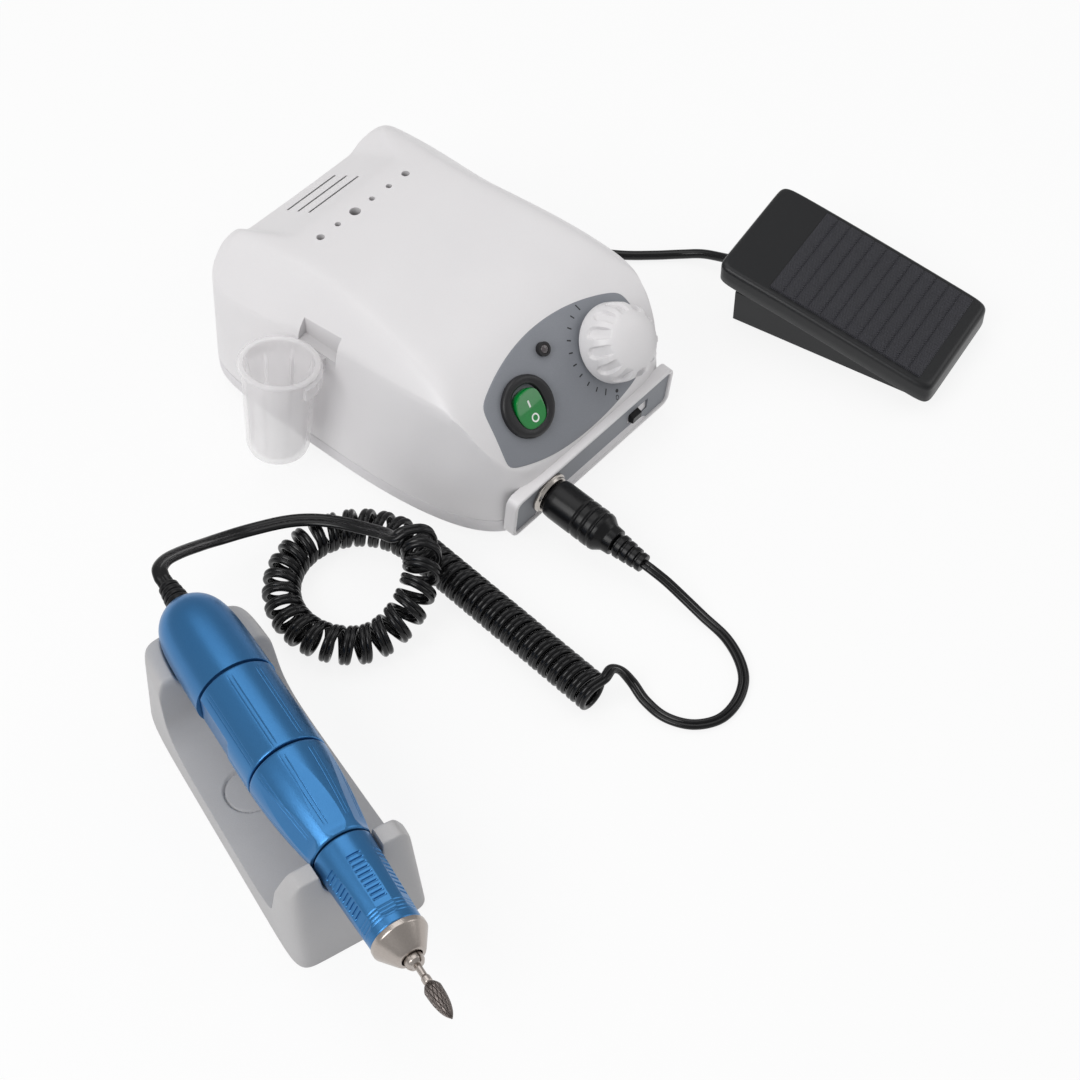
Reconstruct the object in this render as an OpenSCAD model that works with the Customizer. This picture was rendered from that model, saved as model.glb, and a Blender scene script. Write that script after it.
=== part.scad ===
// Bench-top micromotor set: control unit, foot pedal, handpiece in its cradle and the leads between them.
// Millimetres, +Z up. The origin lies on the table under the middle of the whole set;
// the unit's front looks along -Y and its width runs along X.

/* [Control unit] */
// Width of the unit at its widest
unit_w = 125; // [118:1:135]
// Depth of the unit, front to back
unit_d = 156; // [150:1:166]
// Height of the roof's crown above the table
unit_h = 72; // [70:0.5:78]
// Height of the rubber feet
foot_h = 3; // [2:0.5:4]
// Height of the seam between tray and housing
seam_z = 11; // [10:0.5:13]
// Wall of the housing and the tray
wall = 2.5; // [2:0.1:3]
// How far the sides draw in towards the front
side_draw = 11; // [8:0.5:13]
// How far the sides draw in towards the back
back_draw = 2; // [1.5:0.5:4]
// How far the roof falls from its crown to the front
roof_drop = 8; // [6:0.5:10]
// Height of the side ridge at mid depth
ridge_z = 58.5; // [55:0.5:61]
// How far the side wall leans in from the tray to the ridge
side_lean = 8.5; // [7:0.5:10]
// Number of vent slots
vent_count = 3; // [2:1:3]
// Length of a vent slot
vent_l = 28; // [20:1:34]
// Width of a vent slot
vent_w = 1.4; // [1:0.1:2]
// Distance from one vent slot to the next
vent_pitch = 7.4; // [6.5:0.1:8]

/* [Bur holder] */
// Distance from one bur hole to the next
bur_pitch = 9.5; // [9:0.1:10.5]
// Distance of the row of bur holes behind mid depth
bur_row_y = 39; // [36:0.5:41]
// Radius of a hole for a thin shank
bur_hole_r = 1.25; // [1.2:0.05:1.6]
// Radius of the holes at both ends of the row
bur_end_r = 1.65; // [1.4:0.05:2]
// Radius of the one wide hole
bur_wide_r = 2.3; // [1.8:0.1:2.8]
// Depth of the bur holes
bur_depth = 14; // [10:1:18]

/* [Front panel] */
// Radius of the bowed front face
face_r = 90; // [84:1:110]
// Angle of the panel's normal above the horizontal
face_tilt = 39; // [37:0.5:42]
// Height of the panel's middle
face_mid_z = 48; // [46.5:0.5:49]
// Setback of the panel's middle from the front
face_set = 12; // [11.5:0.5:14]
// Half width of the panel at its top corners
panel_top_x = 40; // [37:0.5:41]
// Half width of the panel at its bottom corners
panel_low_x = 43; // [41:0.5:44]
// Height of the panel's straight sides, along the slope
panel_side = 25; // [23:0.5:27]
// Rise of the panel's bowed upper and lower edges
panel_bow = 10.5; // [8:0.5:11]
// Thickness of the panel
panel_t = 1.2; // [1:0.1:1.4]

/* [Controls] */
// Distance of the rocker and the knob from the middle of the panel
control_x = 23; // [22:0.5:24]
// Place of the rocker up the panel from its middle
switch_up = 2; // [1:0.5:3]
// Radius of the rocker's round bezel
bezel_r = 12; // [11:0.5:12.5]
// Radius of the hole for the rocker's body
switch_r = 10; // [9.5:0.1:10.3]
// Depth of the rocker switch behind the panel
switch_depth = 18; // [14:1:22]
// Width of the rocker
rocker_w = 11; // [10:0.5:12]
// Length of the rocker
rocker_l = 14.4; // [13:0.2:14.6]
// Rest tilt of the rocker
rocker_tilt = 9; // [7:0.5:10]
// Radius of the pilot lamp's bezel
lamp_r = 2.8; // [2.4:0.1:3.2]
// Place of the pilot lamp across the panel
lamp_x = -4; // [-6:0.5:-2]
// Place of the pilot lamp up the panel from its middle
lamp_up = 15; // [14:0.5:16]
// Radius of the speed knob at its foot
knob_r = 15.5; // [14.5:0.5:16]
// Height of the speed knob
knob_h = 17; // [15:0.5:20]
// Number of finger scallops round the knob
knob_scallops = 12; // [8:1:14]
// Radius of the potentiometer's shaft
pot_shaft_r = 3; // [2.5:0.1:3.2]

/* [Jack strip] */
// Width of the strip's raised frame
strip_w = 94; // [92:0.5:95]
// Height of the strip's raised frame
strip_h = 21.5; // [21:0.5:22.5]
// Width of the frame's border
strip_rim = 2.6; // [2:0.1:3]
// Height of the strip's middle
strip_z = 15; // [14.5:0.25:15.5]
// Downward tilt of the strip
strip_tilt = 6; // [4:0.5:7]
// Place of the motor socket left of the middle
socket_x = 27; // [25:0.5:29]
// Radius of the motor socket's ring
socket_r = 7.4; // [7:0.1:7.8]
// Place of the direction switch right of the middle
slider_x = 27; // [25:0.5:29]
// Travel of the direction slider
slider_travel = 5; // [4:0.5:6]

/* [Cup] */
// Radius of the cup at its rim
cup_r = 14.6; // [14:0.1:15]
// Radius of the cup at its foot
cup_foot_r = 12; // [11.5:0.1:12.5]
// Height of the cup
cup_h = 44; // [42:0.5:46]
// Wall of the cup
cup_wall = 1.3; // [1.1:0.1:1.6]
// Lean of the cup towards the unit
cup_lean = 8; // [7:0.5:9]
// Number of ribs inside the cup
cup_ribs = 8; // [6:1:10]

/* [Pedal] */
// Width of the treadle
treadle_w = 57; // [55:0.5:60]
// Length of the treadle
treadle_l = 97; // [94:0.5:102]
// Height of the treadle's top at the lead's end
treadle_high = 34; // [32.5:0.5:36]
// Height of the treadle's top at the hinge end
treadle_low = 14; // [13.5:0.5:16]
// Depth of the treadle's skirt
skirt_h = 9; // [8.5:0.5:9.5]
// Wall of the treadle and the pedal base
pedal_wall = 2.5; // [2:0.1:3]
// Number of bands of the foot mat
mat_bands = 12; // [8:1:14]
// Radius of the hinge pin
pin_r = 2; // [1.5:0.1:2.2]
// Travel of the treadle in degrees
treadle_travel = 6; // [4:0.5:6]

/* [Cradle] */
// Width of the cradle at the back
cradle_back_w = 46; // [44:0.5:49]
// Width of the cradle at the front
cradle_front_w = 51; // [49:0.5:54]
// Length of the cradle
cradle_l = 127; // [124:1:130]
// Height of the yoke's peaks
yoke_h = 44; // [42:0.5:46]
// Height of the back rest
back_rest_h = 36; // [34:0.5:38]
// Thickness of the cradle's floor
cradle_floor = 9; // [7:0.5:11]

/* [Handpiece] */
// Largest radius of the handpiece
body_r = 14.75; // [14.4:0.05:15]
// Radius of the nose grip where it starts
grip_r = 10.7; // [10.4:0.1:11]
// Radius of the nose grip at its end
grip_end_r = 9.4; // [9.1:0.1:9.6]
// Length of the rear cap
cap_l = 42; // [40:0.5:44]
// Length of the motor sleeve
sleeve_l = 37; // [35:0.5:39]
// Length of the turning chuck ring
ring_l = 37; // [35:0.5:39]
// Length of the nose grip
grip_l = 36; // [34:0.5:38]
// Length of the steel nose cone
cone_l = 9; // [8:0.5:10]
// Gap between one sleeve and the next
groove = 0.8; // [0.5:0.1:1]
// Wall of the sleeves
sleeve_wall = 1.6; // [1.4:0.1:2]
// Height of the handpiece's axis
hand_z = 40; // [39:0.5:42]

/* [Spindle and bur] */
// Radius of the bur's shank
shank_r = 1.175; // [1.15:0.005:1.2]
// Length of the shank that shows
shank_l = 7; // [5:0.5:10]
// Radius of the bur's cutting head
head_r = 3; // [2:0.1:3.3]
// Length of the bur's cutting head
head_l = 14; // [10:0.5:18]
// Radius of the spindle at the rotor
spindle_r = 2.5; // [2.2:0.1:2.8]
// Radius of the spindle's nose
spindle_nose_r = 4; // [3.8:0.1:4.2]

/* [Leads] */
// Width of the flat twin lead
twin_w = 4.2; // [3.8:0.1:4.4]
// Thickness of the flat twin lead
twin_t = 2.3; // [2:0.1:2.4]
// Number of turns of the curly lead
curls = 45; // [40:1:45]
// Radius of the curls at the middle of the lead
curl_r = 6.2; // [5.8:0.1:6.3]
// Radius of the ring that the curls are laid in
curl_ring_r = 29.2; // [28.6:0.2:31]
// Diameter of the pedal's lead
pedal_cord_d = 4; // [3.6:0.1:4.2]
// Number of loops in the pedal lead's hank
hank_loops = 4; // [3:1:4]
// Straight length of the hank's runs
hank_run = 58; // [54:1:60]

/* [Fits] */
// Running clearance of shafts in their bores
fit = 0.05; // [0.03:0.01:0.08]
// Clearance round pieces that move past each other
play = 0.4; // [0.3:0.05:0.5]
// Slip clearance of pieces that drop into a seat
seat = 0.15; // [0.1:0.05:0.25]

/* [Hidden] */
$fn = 48;

// Colours
shell_white = [0.90, 0.89, 0.89];
panel_grey = [0.50, 0.52, 0.55];
black = [0.07, 0.07, 0.08];
soft_black = [0.13, 0.13, 0.14];
steel = [0.72, 0.72, 0.74];
copper = [0.72, 0.42, 0.20];
anodised = [0.23, 0.50, 0.74];
cradle_grey = [0.60, 0.60, 0.61];
clear = [0.90, 0.93, 0.95, 0.4];
rocker_green = [0.05, 0.55, 0.18];
lamp_smoke = [0.55, 0.53, 0.55];
core_grey = [0.35, 0.34, 0.33];
board_green = [0.10, 0.35, 0.18];
sleeve_blue = [0.12, 0.16, 0.30];
can_grey = [0.45, 0.46, 0.48];
bar_copper = [0.80, 0.50, 0.26];
carbon_grey = [0.18, 0.18, 0.18];
carbide_grey = [0.40, 0.40, 0.42];
eps = 0.01;
through = 60;

// Where the unit stands, so that the origin lies under the middle of the whole set
set_at = [29.53, 63.49, 0];
module placed() {
    translate(set_at) children();
}

// Shape of the housing: a plan outline, rings drawn in from it, and a soft minimum of its faces
plan_power = 8;
half_d = unit_d / 2;
half_w = unit_w / 2;
crown_y = 20;
bulge_y = 5;
ridge_fall = 0.1;
shoulder_slope = 1.15;
end_steep = 20;
lean_back = 3;
lean_from = 15;
blend_k = 0.5;
shell_angles = 96;
shell_rings = [0, 0.25, 0.45, 0.6, 0.7, 0.78, 0.84, 0.88, 0.91, 0.94, 0.97, 0.988, 1];
face_mid_y = face_set - half_d;
face_cy = face_mid_y + face_r * cos(face_tilt);
face_cz = face_mid_z - face_r * sin(face_tilt);
back_round = 0.088;
round_from = 66;
notch_y = 50;
notch_drop = 28;
notch_half = 30;
notch_z = roof(notch_y) - 0.6;

function draw_at(y) = y > bulge_y ? back_draw : side_draw;
function half_width(y) = half_w - draw_at(y) * pow(abs((y - bulge_y) / half_d), 2.6);
function squareness(a) = pow(pow(abs(cos(a)), plan_power) + pow(abs(sin(a)), plan_power), 1 / plan_power);
function plan(a) =
    let (k = squareness(a), y = half_d * sin(a) / k)
    [half_width(y) * cos(a) / k, y];
function back_fall(y) = back_round * pow(max(0, y - round_from), 2);
function roof(y) = unit_h - roof_drop * pow((y - crown_y) / half_d, 2) - back_fall(y);
function smooth(u) = let (c = min(1, max(0, u))) c * c * (3 - 2 * c);
function face(y) = face_cz + sqrt(max(0, face_r * face_r - pow(min(0, y - face_cy), 2)));
function ridge(y) = ridge_z - ridge_fall * y - back_fall(y);
function lean_at(y) =
    side_lean - (side_lean - lean_back) * smooth((y - lean_from) / (half_d - lean_from));
function shoulder(x, y) = ridge(y) + (half_width(y) - lean_at(y) - abs(x)) * shoulder_slope;
function skirt(a, ring) =
    let (k = squareness(a), side = pow(abs(cos(a)) / k, plan_power), p = plan(a),
        side_steep = min(end_steep, (ridge(p[1]) - seam_z) / lean_at(p[1])))
    seam_z + (1 - ring) * norm(p) * (side * side_steep + (1 - side) * end_steep);
function soft_min(v) = -ln(sum([for (z = v) exp(-blend_k * (z - v[0]))])) / blend_k + v[0];
function sum(v, i = 0) = i == len(v) ? 0 : v[i] + sum(v, i + 1);
function crown(a, ring) =
    let (p = plan(a) * ring)
    ring == 1 ? seam_z : soft_min([roof(p[1]), face(p[1]), shoulder(p[0], p[1]), skirt(a, ring)]);
function notch(y) = notch_z - (y - notch_y) * tan(notch_drop);
function outer_point(a, ring) = let (p = plan(a) * ring) [p[0], p[1], crown(a, ring)];
function inner_point(a, ring) =
    let (p = plan(a) * ring * (1 - wall / norm(plan(a))), z = crown(a, ring) - wall)
    [p[0], p[1], ring == 1 ? seam_z : min(z, notch(p[1]) - wall)];
function ring_points(i, inner) =
    [for (j = [0:shell_angles - 1])
        let (a = 360 * j / shell_angles, r = shell_rings[i])
        inner ? inner_point(a, r) : outer_point(a, r)];
function plan_points(inset) =
    [for (j = [0:shell_angles - 1]) let (p = plan(360 * j / shell_angles)) p * (1 - inset / norm(p))];

// Front panel frame: x across, y up the slope, z out of the panel
module on_panel() {
    translate([0, face_mid_y, face_mid_z])
        rotate([90 - face_tilt, 0, 0])
            children();
}

// Jack strip frame: x across, y up, z out of the strip
strip_y = -half_d - 0.5;
module on_strip() {
    translate([0, strip_y, strip_z])
        rotate([90 + strip_tilt, 0, 0])
            children();
}
bezel_t = 4;
jack_t = 1.6;

// Cup frame: z up the cup's axis from its foot
cup_set = 15;
cup_foot = [-half_w - cup_set, 15.5, 13.2];
module on_cup() {
    translate(cup_foot)
        rotate([0, cup_lean, 0])
            children();
}
hoop_z = cup_h - 8;
hoop_h = 5;
hoop_t = 2;
rim_r = cup_r + 1.2;
rim_h = 1.4;
function cup_radius(z) = cup_foot_r + (cup_r - cup_foot_r) * z / cup_h;
tongue_w = 16;
tongue_l = 7;

// Pedal frame: x across, y towards the lead's end, hinge near the other end
pedal_at = [132, -106, 0];
pedal_turn = 9;
module on_pedal() {
    translate(pedal_at)
        rotate([0, 0, pedal_turn])
            children();
}
half_t = treadle_l / 2;
kink_y = half_t - 19;
kink_drop = 3;
pin_y = 10 - half_t;
pin_z = treadle_low - 4.6;
treadle_t = 3;
base_w = treadle_w - 2 * pedal_wall - 6;
base_l = treadle_l - 2 * pedal_wall - 8;
base_front = -half_t + pedal_wall + 4;
pad_h = 1.5;
plate_t = 1.5;
base_z = pad_h + plate_t;
spring_y = half_t - 26;
spring_r = 5;
spring_wire = 0.7;
spring_turns = 6;
lead_z = 10.2;
function kink_z() = treadle_high - kink_drop;
function treadle_z(y) = y > kink_y
    ? kink_z() + kink_drop * (y - kink_y) / (half_t - kink_y)
    : treadle_low + (kink_z() - treadle_low) * (y + half_t) / (kink_y + half_t);

// Handpiece frame: z along the axis from the rear end to the nose
hand_at = [-166.8, -30.1];
hand_turn = -17;
module on_hand() {
    translate([hand_at[0], hand_at[1], hand_z])
        rotate([0, 0, hand_turn])
            rotate([90, 0, 0])
                children();
}
hand_dir = [sin(hand_turn), -cos(hand_turn), 0];
function hand_point(z) = [hand_at[0], hand_at[1], hand_z] + z * hand_dir;
sleeve_z = cap_l;
ring_z = sleeve_z + sleeve_l;
grip_z = ring_z + ring_l;
cone_z = grip_z + grip_l;
nose_z = cone_z + cone_l;
cap_cone = 0.02;
cap_flare = 0.25;
cap_round = 7.6;
cap_round_l = 5.2;
gland_r = 3.8;
gland_l = 12;
tube_r = 9.2;
can_r = body_r - sleeve_wall - seat;
can_wall = 1.8;
rotor_r = 8.4;
collet_r = 2.55;
collet_nose_r = 3.3;
collet_l = 34;
collet_out = 3.2;
bearing_r = 6.4;
bearing_l = 5;
ring_power = 1.7;
function cap_radius(z) = body_r + cap_flare - cap_cone * (cap_l - z) - cap_round * exp(-z / cap_round_l);
function ring_radius(u) = body_r - (body_r - grip_r - 0.1) * pow(u, ring_power);
function grip_radius(u) = grip_r - (grip_r - grip_end_r) * u;

// Routes of the leads, chosen by hand
plug_route = [[-26.5, -137, 7.5], [-26.5, -146, 4.5], [-27, -155, 2.2], [-28.6, -166.4, 1.4],
    [-33.4, -176.5, 1.4], [-40, -183.5, 1.4], [-49.4, -187.2, 1.4], [-58.9, -186.8, 1.4],
    [-66.8, -181, 1.4], [-70.6, -171.7, 1.4], [-70, -162, 1.8], [-68.4, -154.5, 4.5],
    [-69.4, -150, 8.5], [-73, -148.4, 12]];
hand_route = [[-160.5, -10.5, 39.5], [-156, -7, 37.5], [-149, -5.8, 33.5], [-140, -5.2, 28],
    [-128, -5, 21], [-116, -8, 17.5], [-104, -15, 17], [-96.6, -22, 17], [-91.5, -31, 18],
    [-88.5, -41, 20], [-87.5, -50, 23.5], [-88, -56.5, 27]];
pedal_route = [[124, -47, 7], [122, -37, 4.5], [117.5, -29, 2.6], [110, -20.5, 2.1],
    [101, -10, 2.1], [93, 3, 2.1], [86, 18, 2.1], [80, 34, 2.1], [75.5, 50, 2.1],
    [72.5, 66, 2.1], [70.5, 78, 2.2], [66, 88, 2.6], [58, 93, 3]];

// Curly lead: a straight stretch that meets a ring as its tangent, then climbs over its own start
curl_start = [-82.7, -149];
curl_centre = [-104, -51];
curl_sweep = 340;
curl_spiral = 4.2;
curl_steps = 8;
curl_sides = 6;
curl_base_z = curl_r + twin_t / 2;
curl_climb = 2 * (curl_r + twin_t / 2) + 0.9;
climb_from = 230;
climb_to = 325;
curl_away = norm(curl_start - curl_centre);
curl_line = sqrt(curl_away * curl_away - curl_ring_r * curl_ring_r);
curl_from = atan2(curl_start[1] - curl_centre[1],
    curl_start[0] - curl_centre[0]) + acos(curl_ring_r / curl_away);
curl_arc = (curl_ring_r - curl_spiral / 2) * curl_sweep * PI / 180;
curl_total = curl_line + curl_arc;
// Turns keep one pitch along the straight stretch and along the inner side of the ring
curl_inner = curl_ring_r - curl_r;
curl_close = curl_spiral / (curl_sweep * PI / 180);
curl_inner_l = curl_inner * curl_sweep * PI / 180 - curl_close * pow(curl_sweep * PI / 180, 2) / 2;
curl_pitch = (curl_line + curl_inner_l) / curls;
function curl_along(u) =
    let (d = u * curl_pitch - curl_line)
    d < 0 ? u * curl_pitch
    : curl_line + curl_arc / (curl_sweep * PI / 180)
        * (curl_inner - sqrt(curl_inner * curl_inner - 2 * curl_close * d)) / curl_close;
function curl_axis(s) = s < curl_line
    ? let (a = curl_from, t = curl_centre + curl_ring_r * [cos(a), sin(a)],
        p = t + (s - curl_line) * [-sin(a), cos(a)])
      [p[0], p[1], curl_base_z]
    : let (g = (s - curl_line) / curl_arc * curl_sweep, a = curl_from + g,
        r = curl_ring_r - curl_spiral * g / curl_sweep)
      [curl_centre[0] + r * cos(a), curl_centre[1] + r * sin(a),
       curl_base_z + curl_climb * smooth((g - climb_from) / (climb_to - climb_from))];
function unit_vec(v) = v / norm(v);
function curl_tangent(s) = unit_vec(curl_axis(s + 0.1) - curl_axis(s - 0.1));
function curl_left(s) = let (t = curl_tangent(s)) unit_vec([-t[1], t[0], 0]);
function curl_up(s) = cross(curl_tangent(s), curl_left(s));
function curl_point(u) =
    let (s = curl_along(u), a = 90 - 360 * u)
    curl_axis(s) + curl_r * (cos(a) * curl_left(s) + sin(a) * curl_up(s));
function curl_run(u) = unit_vec(curl_point(u + 0.01) - curl_point(u - 0.01));
function curl_path() = [for (i = [0:curls * curl_steps]) curl_point(i / curl_steps)];
function curl_sides_dir(u) =
    let (r = curl_run(u), t = curl_tangent(curl_along(u)))
    unit_vec(t - (t * r) * r);

// Hank of the pedal lead: loops that stand on edge behind the unit, laid side by side
hank_fold = 10;
hank_x = 18;
hank_y = 94;
hank_step = pedal_cord_d + 0.42;
hank_z = pedal_cord_d / 2 + 1;
hank_rings = 24;
plug_set = 20.5;
pedal_plug_at = [half_w - plug_set, half_d, 32];
pedal_plug_out = 4.6;
pedal_plug_r = 4.2;
pedal_boot_l = 8;
tie_t = 0.5;
function hank_len() = 2 * hank_run + 2 * PI * hank_fold;
function hank_point(s) =
    let (n = floor(s / hank_len()), d = s - n * hank_len(), e = hank_x + hank_run / 2,
        w = hank_x - hank_run / 2,
        f = PI * hank_fold, y = hank_y - hank_step * (n + smooth((d - hank_run - f) / hank_run)),
        a = d < hank_run + f ? (d - hank_run) / f * 180 : (d - 2 * hank_run - f) / f * 180)
    d < hank_run ? [e - d, y, hank_z]
    : d < hank_run + f ? [w - hank_fold * sin(a), y, hank_z + hank_fold * (1 - cos(a))]
    : d < 2 * hank_run + f ? [w + d - hank_run - f, y, hank_z + 2 * hank_fold]
    : [e + hank_fold * sin(a), y, hank_z + hank_fold * (1 + cos(a))];
hank_end = (hank_loops - 1) * hank_len() + hank_run + PI * hank_fold + hank_run * 0.35;
hank_tail = [[15, half_d + 3.2, 25.5], [20, half_d + 4, 28.5]];
boot_end = pedal_plug_at + [-pedal_plug_r - pedal_boot_l, pedal_plug_out, 0];
function hank_path() =
    concat([for (i = [0:hank_rings * hank_loops]) hank_point(hank_end * i / (hank_rings * hank_loops))],
        hank_tail, [boot_end - [pedal_cord_d, 0, 0], boot_end]);

// Sweeps: a smooth curve through route points, and a tube of oval section along a path
function spline(p, n) =
    [for (i = [0:len(p) - 2], k = [0:n - 1])
        let (u = k / n, a = p[max(0, i - 1)], b = p[i], c = p[i + 1], d = p[min(len(p) - 1, i + 2)])
        b + 0.5 * u * (c - a + u * (2 * a - 5 * b + 4 * c - d + u * (3 * b - a - 3 * c + d)))];
function smoothed(p, n) = concat(spline(p, n), [p[len(p) - 1]]);
function straight_end(from, step) = [from, from + step / 2, from + step];
function path_run(p, i) = unit_vec(p[min(len(p) - 1, i + 1)] - p[max(0, i - 1)]);
function flat_dirs(p) = [for (i = [0:len(p) - 1]) let (r = path_run(p, i)) unit_vec([-r[1], r[0], 0])];
function path_length(p, i = 0) = i >= len(p) - 1 ? 0 : norm(p[i + 1] - p[i]) + path_length(p, i + 1);
module tube(p, dirs, w, t, sides) {
    n = len(p);
    rings = [for (i = [0:n - 1], j = [0:sides - 1])
        let (run = path_run(p, i), wide = unit_vec(dirs[i] - (dirs[i] * run) * run),
            thin = cross(run, wide))
        p[i] + w / 2 * cos(360 * j / sides) * wide + t / 2 * sin(360 * j / sides) * thin];
    sides_tri = [for (i = [0:n - 2], j = [0:sides - 1])
        let (a = i * sides + j, b = i * sides + (j + 1) % sides)
        each [[a, a + sides, b], [b, a + sides, b + sides]]];
    first = [for (j = [1:sides - 2]) [0, j, j + 1]];
    last = [for (j = [1:sides - 2]) let (o = (n - 1) * sides) [o, o + j + 1, o + j]];
    polyhedron(concat(rings), concat(first, sides_tri, last));
}

// Control unit
module shell_solid() {
    n = shell_angles;
    m = len(shell_rings) - 1;
    outer = [for (i = [1:m]) each ring_points(i, false)];
    inner = [for (i = [1:m]) each ring_points(i, true)];
    top = outer_point(0, 0);
    under = inner_point(0, 0);
    o = 2;
    q = 2 + m * n;
    caps = [for (j = [0:n - 1]) let (k = (j + 1) % n) each [[0, o + k, o + j], [1, q + j, q + k]]];
    walls = [for (i = [0:m - 2], j = [0:n - 1])
        let (a = i * n + j, b = i * n + (j + 1) % n)
        each [[o + a, o + b, o + a + n], [o + b, o + b + n, o + a + n],
              [q + a, q + a + n, q + b], [q + b, q + a + n, q + b + n]]];
    rim = [for (j = [0:n - 1])
        let (a = (m - 1) * n + j, b = (m - 1) * n + (j + 1) % n)
        each [[o + a, o + b, q + a], [o + b, q + b, q + a]]];
    polyhedron(concat([top, under], outer, inner), concat(caps, walls, rim));
}
module lens(grow) {
    side_top = panel_top_x + grow;
    side_low = panel_low_x + grow;
    reach = panel_side / 2 + panel_bow + grow;
    top_r = (pow(panel_top_x, 2) + pow(panel_bow, 2)) / (2 * panel_bow);
    low_r = (pow(panel_low_x, 2) + pow(panel_bow, 2)) / (2 * panel_bow);
    slope = (panel_low_x - panel_top_x) / panel_side;
    on_panel() intersection() {
        translate([0, reach - grow - top_r, -through / 2]) cylinder(r = top_r + grow, h = through,
            $fn = 96);
        translate([0, low_r - reach + grow, -through / 2]) cylinder(r = low_r + grow, h = through,
            $fn = 96);
        translate([0, 0, -through / 2]) linear_extrude(through)
            polygon([[-side_low - slope * reach, -reach * 2], [side_low + slope * reach, -reach * 2],
                [side_top - slope * reach, reach * 2], [slope * reach - side_top, reach * 2]]);
    }
}
module face_roll(r) {
    translate([-unit_w, face_cy, face_cz]) rotate([0, 90, 0]) cylinder(r = r, h = 2 * unit_w, $fn = 128);
}
module panel_holes(extra) {
    on_panel() {
        translate([-control_x, switch_up, -through / 2]) cylinder(r = switch_r + extra, h = through);
        translate([control_x, 0, -through / 2]) cylinder(r = pot_shaft_r + bush_wall + extra, h = through);
        translate([lamp_x, lamp_up, -through / 2]) cylinder(r = lamp_r + extra, h = through);
    }
}
module strip_block(w, h, r, t) {
    linear_extrude(t) {
        square([w - 2 * r, h], center = true);
        square([w, h - 2 * r], center = true);
        for (x = [-1, 1], y = [-1, 1]) translate([x * (w / 2 - r), y * (h / 2 - r)]) circle(r);
    }
}
strip_corner = 4;
module strip_seat(grow) {
    on_strip() translate([0, 0, -bezel_t]) {
        strip_block(strip_w + 2 * grow, strip_h + 2 * grow, strip_corner + grow, through / 4);
        translate([0, 0, 1 - through / 4]) strip_block(strip_w - 4 * strip_rim,
            strip_h - 4 * strip_rim, 1, through / 4);
    }
}
module notch_cut() {
    depth = 2 * (half_d - notch_y);
    high = through / 2;
    far = notch_half + high;
    translate([0, notch_y, notch_z]) rotate([-notch_drop, 0, 0]) translate([0, depth, 0])
        rotate([90, 0, 0]) linear_extrude(depth)
            polygon([[-notch_half, 0], [notch_half, 0], [far, high], [-far, high]]);
}
vent_from = 5.5;
module vent_cuts() {
    translate([0, notch_y, notch_z]) rotate([-notch_drop, 0, 0])
        for (i = [0:vent_count - 1])
            translate([-vent_l / 2, vent_from + i * vent_pitch, -through / 4])
                cube([vent_l, vent_w, through / 2]);
}
bur_radii = [bur_end_r, bur_hole_r, bur_wide_r, bur_hole_r, bur_hole_r, bur_end_r];
function bur_x(i) = (i - (len(bur_radii) - 1) / 2) * bur_pitch;
boss_wall = 1.8;
module bur_bosses() {
    for (i = [0:len(bur_radii) - 1])
        translate([bur_x(i), bur_row_y, roof(bur_row_y) - bur_depth - boss_wall])
            cylinder(r = bur_radii[i] + boss_wall, h = bur_depth + boss_wall - wall / 2);
}
module bur_holes() {
    for (i = [0:len(bur_radii) - 1])
        translate([bur_x(i), bur_row_y, roof(bur_row_y) - bur_depth]) cylinder(r = bur_radii[i],
            h = bur_depth + wall);
}
module tongue(grow) {
    on_cup() translate([cup_radius(hoop_z) + hoop_t / 2, -tongue_w / 2 - grow, hoop_z - grow])
        cube([tongue_l + hoop_t / 2 + grow, tongue_w + 2 * grow, hoop_h + 2 * grow]);
}
inlet_x = -8;
inlet_z = 38;
inlet_w = 22;
inlet_h = 15;
fuse_x = 21;
fuse_z = 40;
fuse_r = 4.8;
socket_back_r = 5;
back_reach = 12;
module back_holes() {
    translate([inlet_x - inlet_w / 2 - seat, half_d - back_reach, inlet_z - inlet_h / 2 - seat])
        cube([inlet_w + 2 * seat, 2 * back_reach, inlet_h + 2 * seat]);
    translate([fuse_x, half_d - back_reach, fuse_z]) rotate([-90, 0, 0])
        cylinder(r = fuse_r + seat, h = 2 * back_reach);
    translate([pedal_plug_at[0], half_d - back_reach, pedal_plug_at[2]]) rotate([-90, 0, 0])
        cylinder(r = socket_back_r + seat, h = 2 * back_reach);
}
module upper_housing() {
    color(shell_white) placed() difference() {
        union() {
            shell_solid();
            bur_bosses();
            screw_posts();
        }
        screw_places() translate([0, 0, seam_z - 1]) cylinder(r = screw_r + fit, h = screw_bite + 1);
        difference() {
            lens(seat);
            face_roll(face_r - panel_t);
        }
        panel_holes(seat);
        strip_seat(seat);
        notch_cut();
        vent_cuts();
        bur_holes();
        tongue(seat);
        back_holes();
    }
}
foot_x = 44;
foot_y = 52;
foot_r = 7;
screw_r = 1.6;
screw_head_r = 3;
screw_bite = 10;
post_r = 4;
screw_at = [[34, 22], [-34, 22], [34, -36], [-34, -36]];
module foot_places() {
    for (x = [-1, 1], y = [-1, 1]) translate([x * foot_x, y * foot_y, 0]) children();
}
module screw_places() {
    for (p = screw_at) translate([p[0], p[1], 0]) children();
}
function under_roof(p) = soft_min([roof(p[1]), face(p[1]), shoulder(p[0], p[1])]) - wall * 0.7;
module screw_posts() {
    for (p = screw_at) translate([p[0], p[1], seam_z]) cylinder(r = post_r, h = under_roof(p) - seam_z);
}
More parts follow.
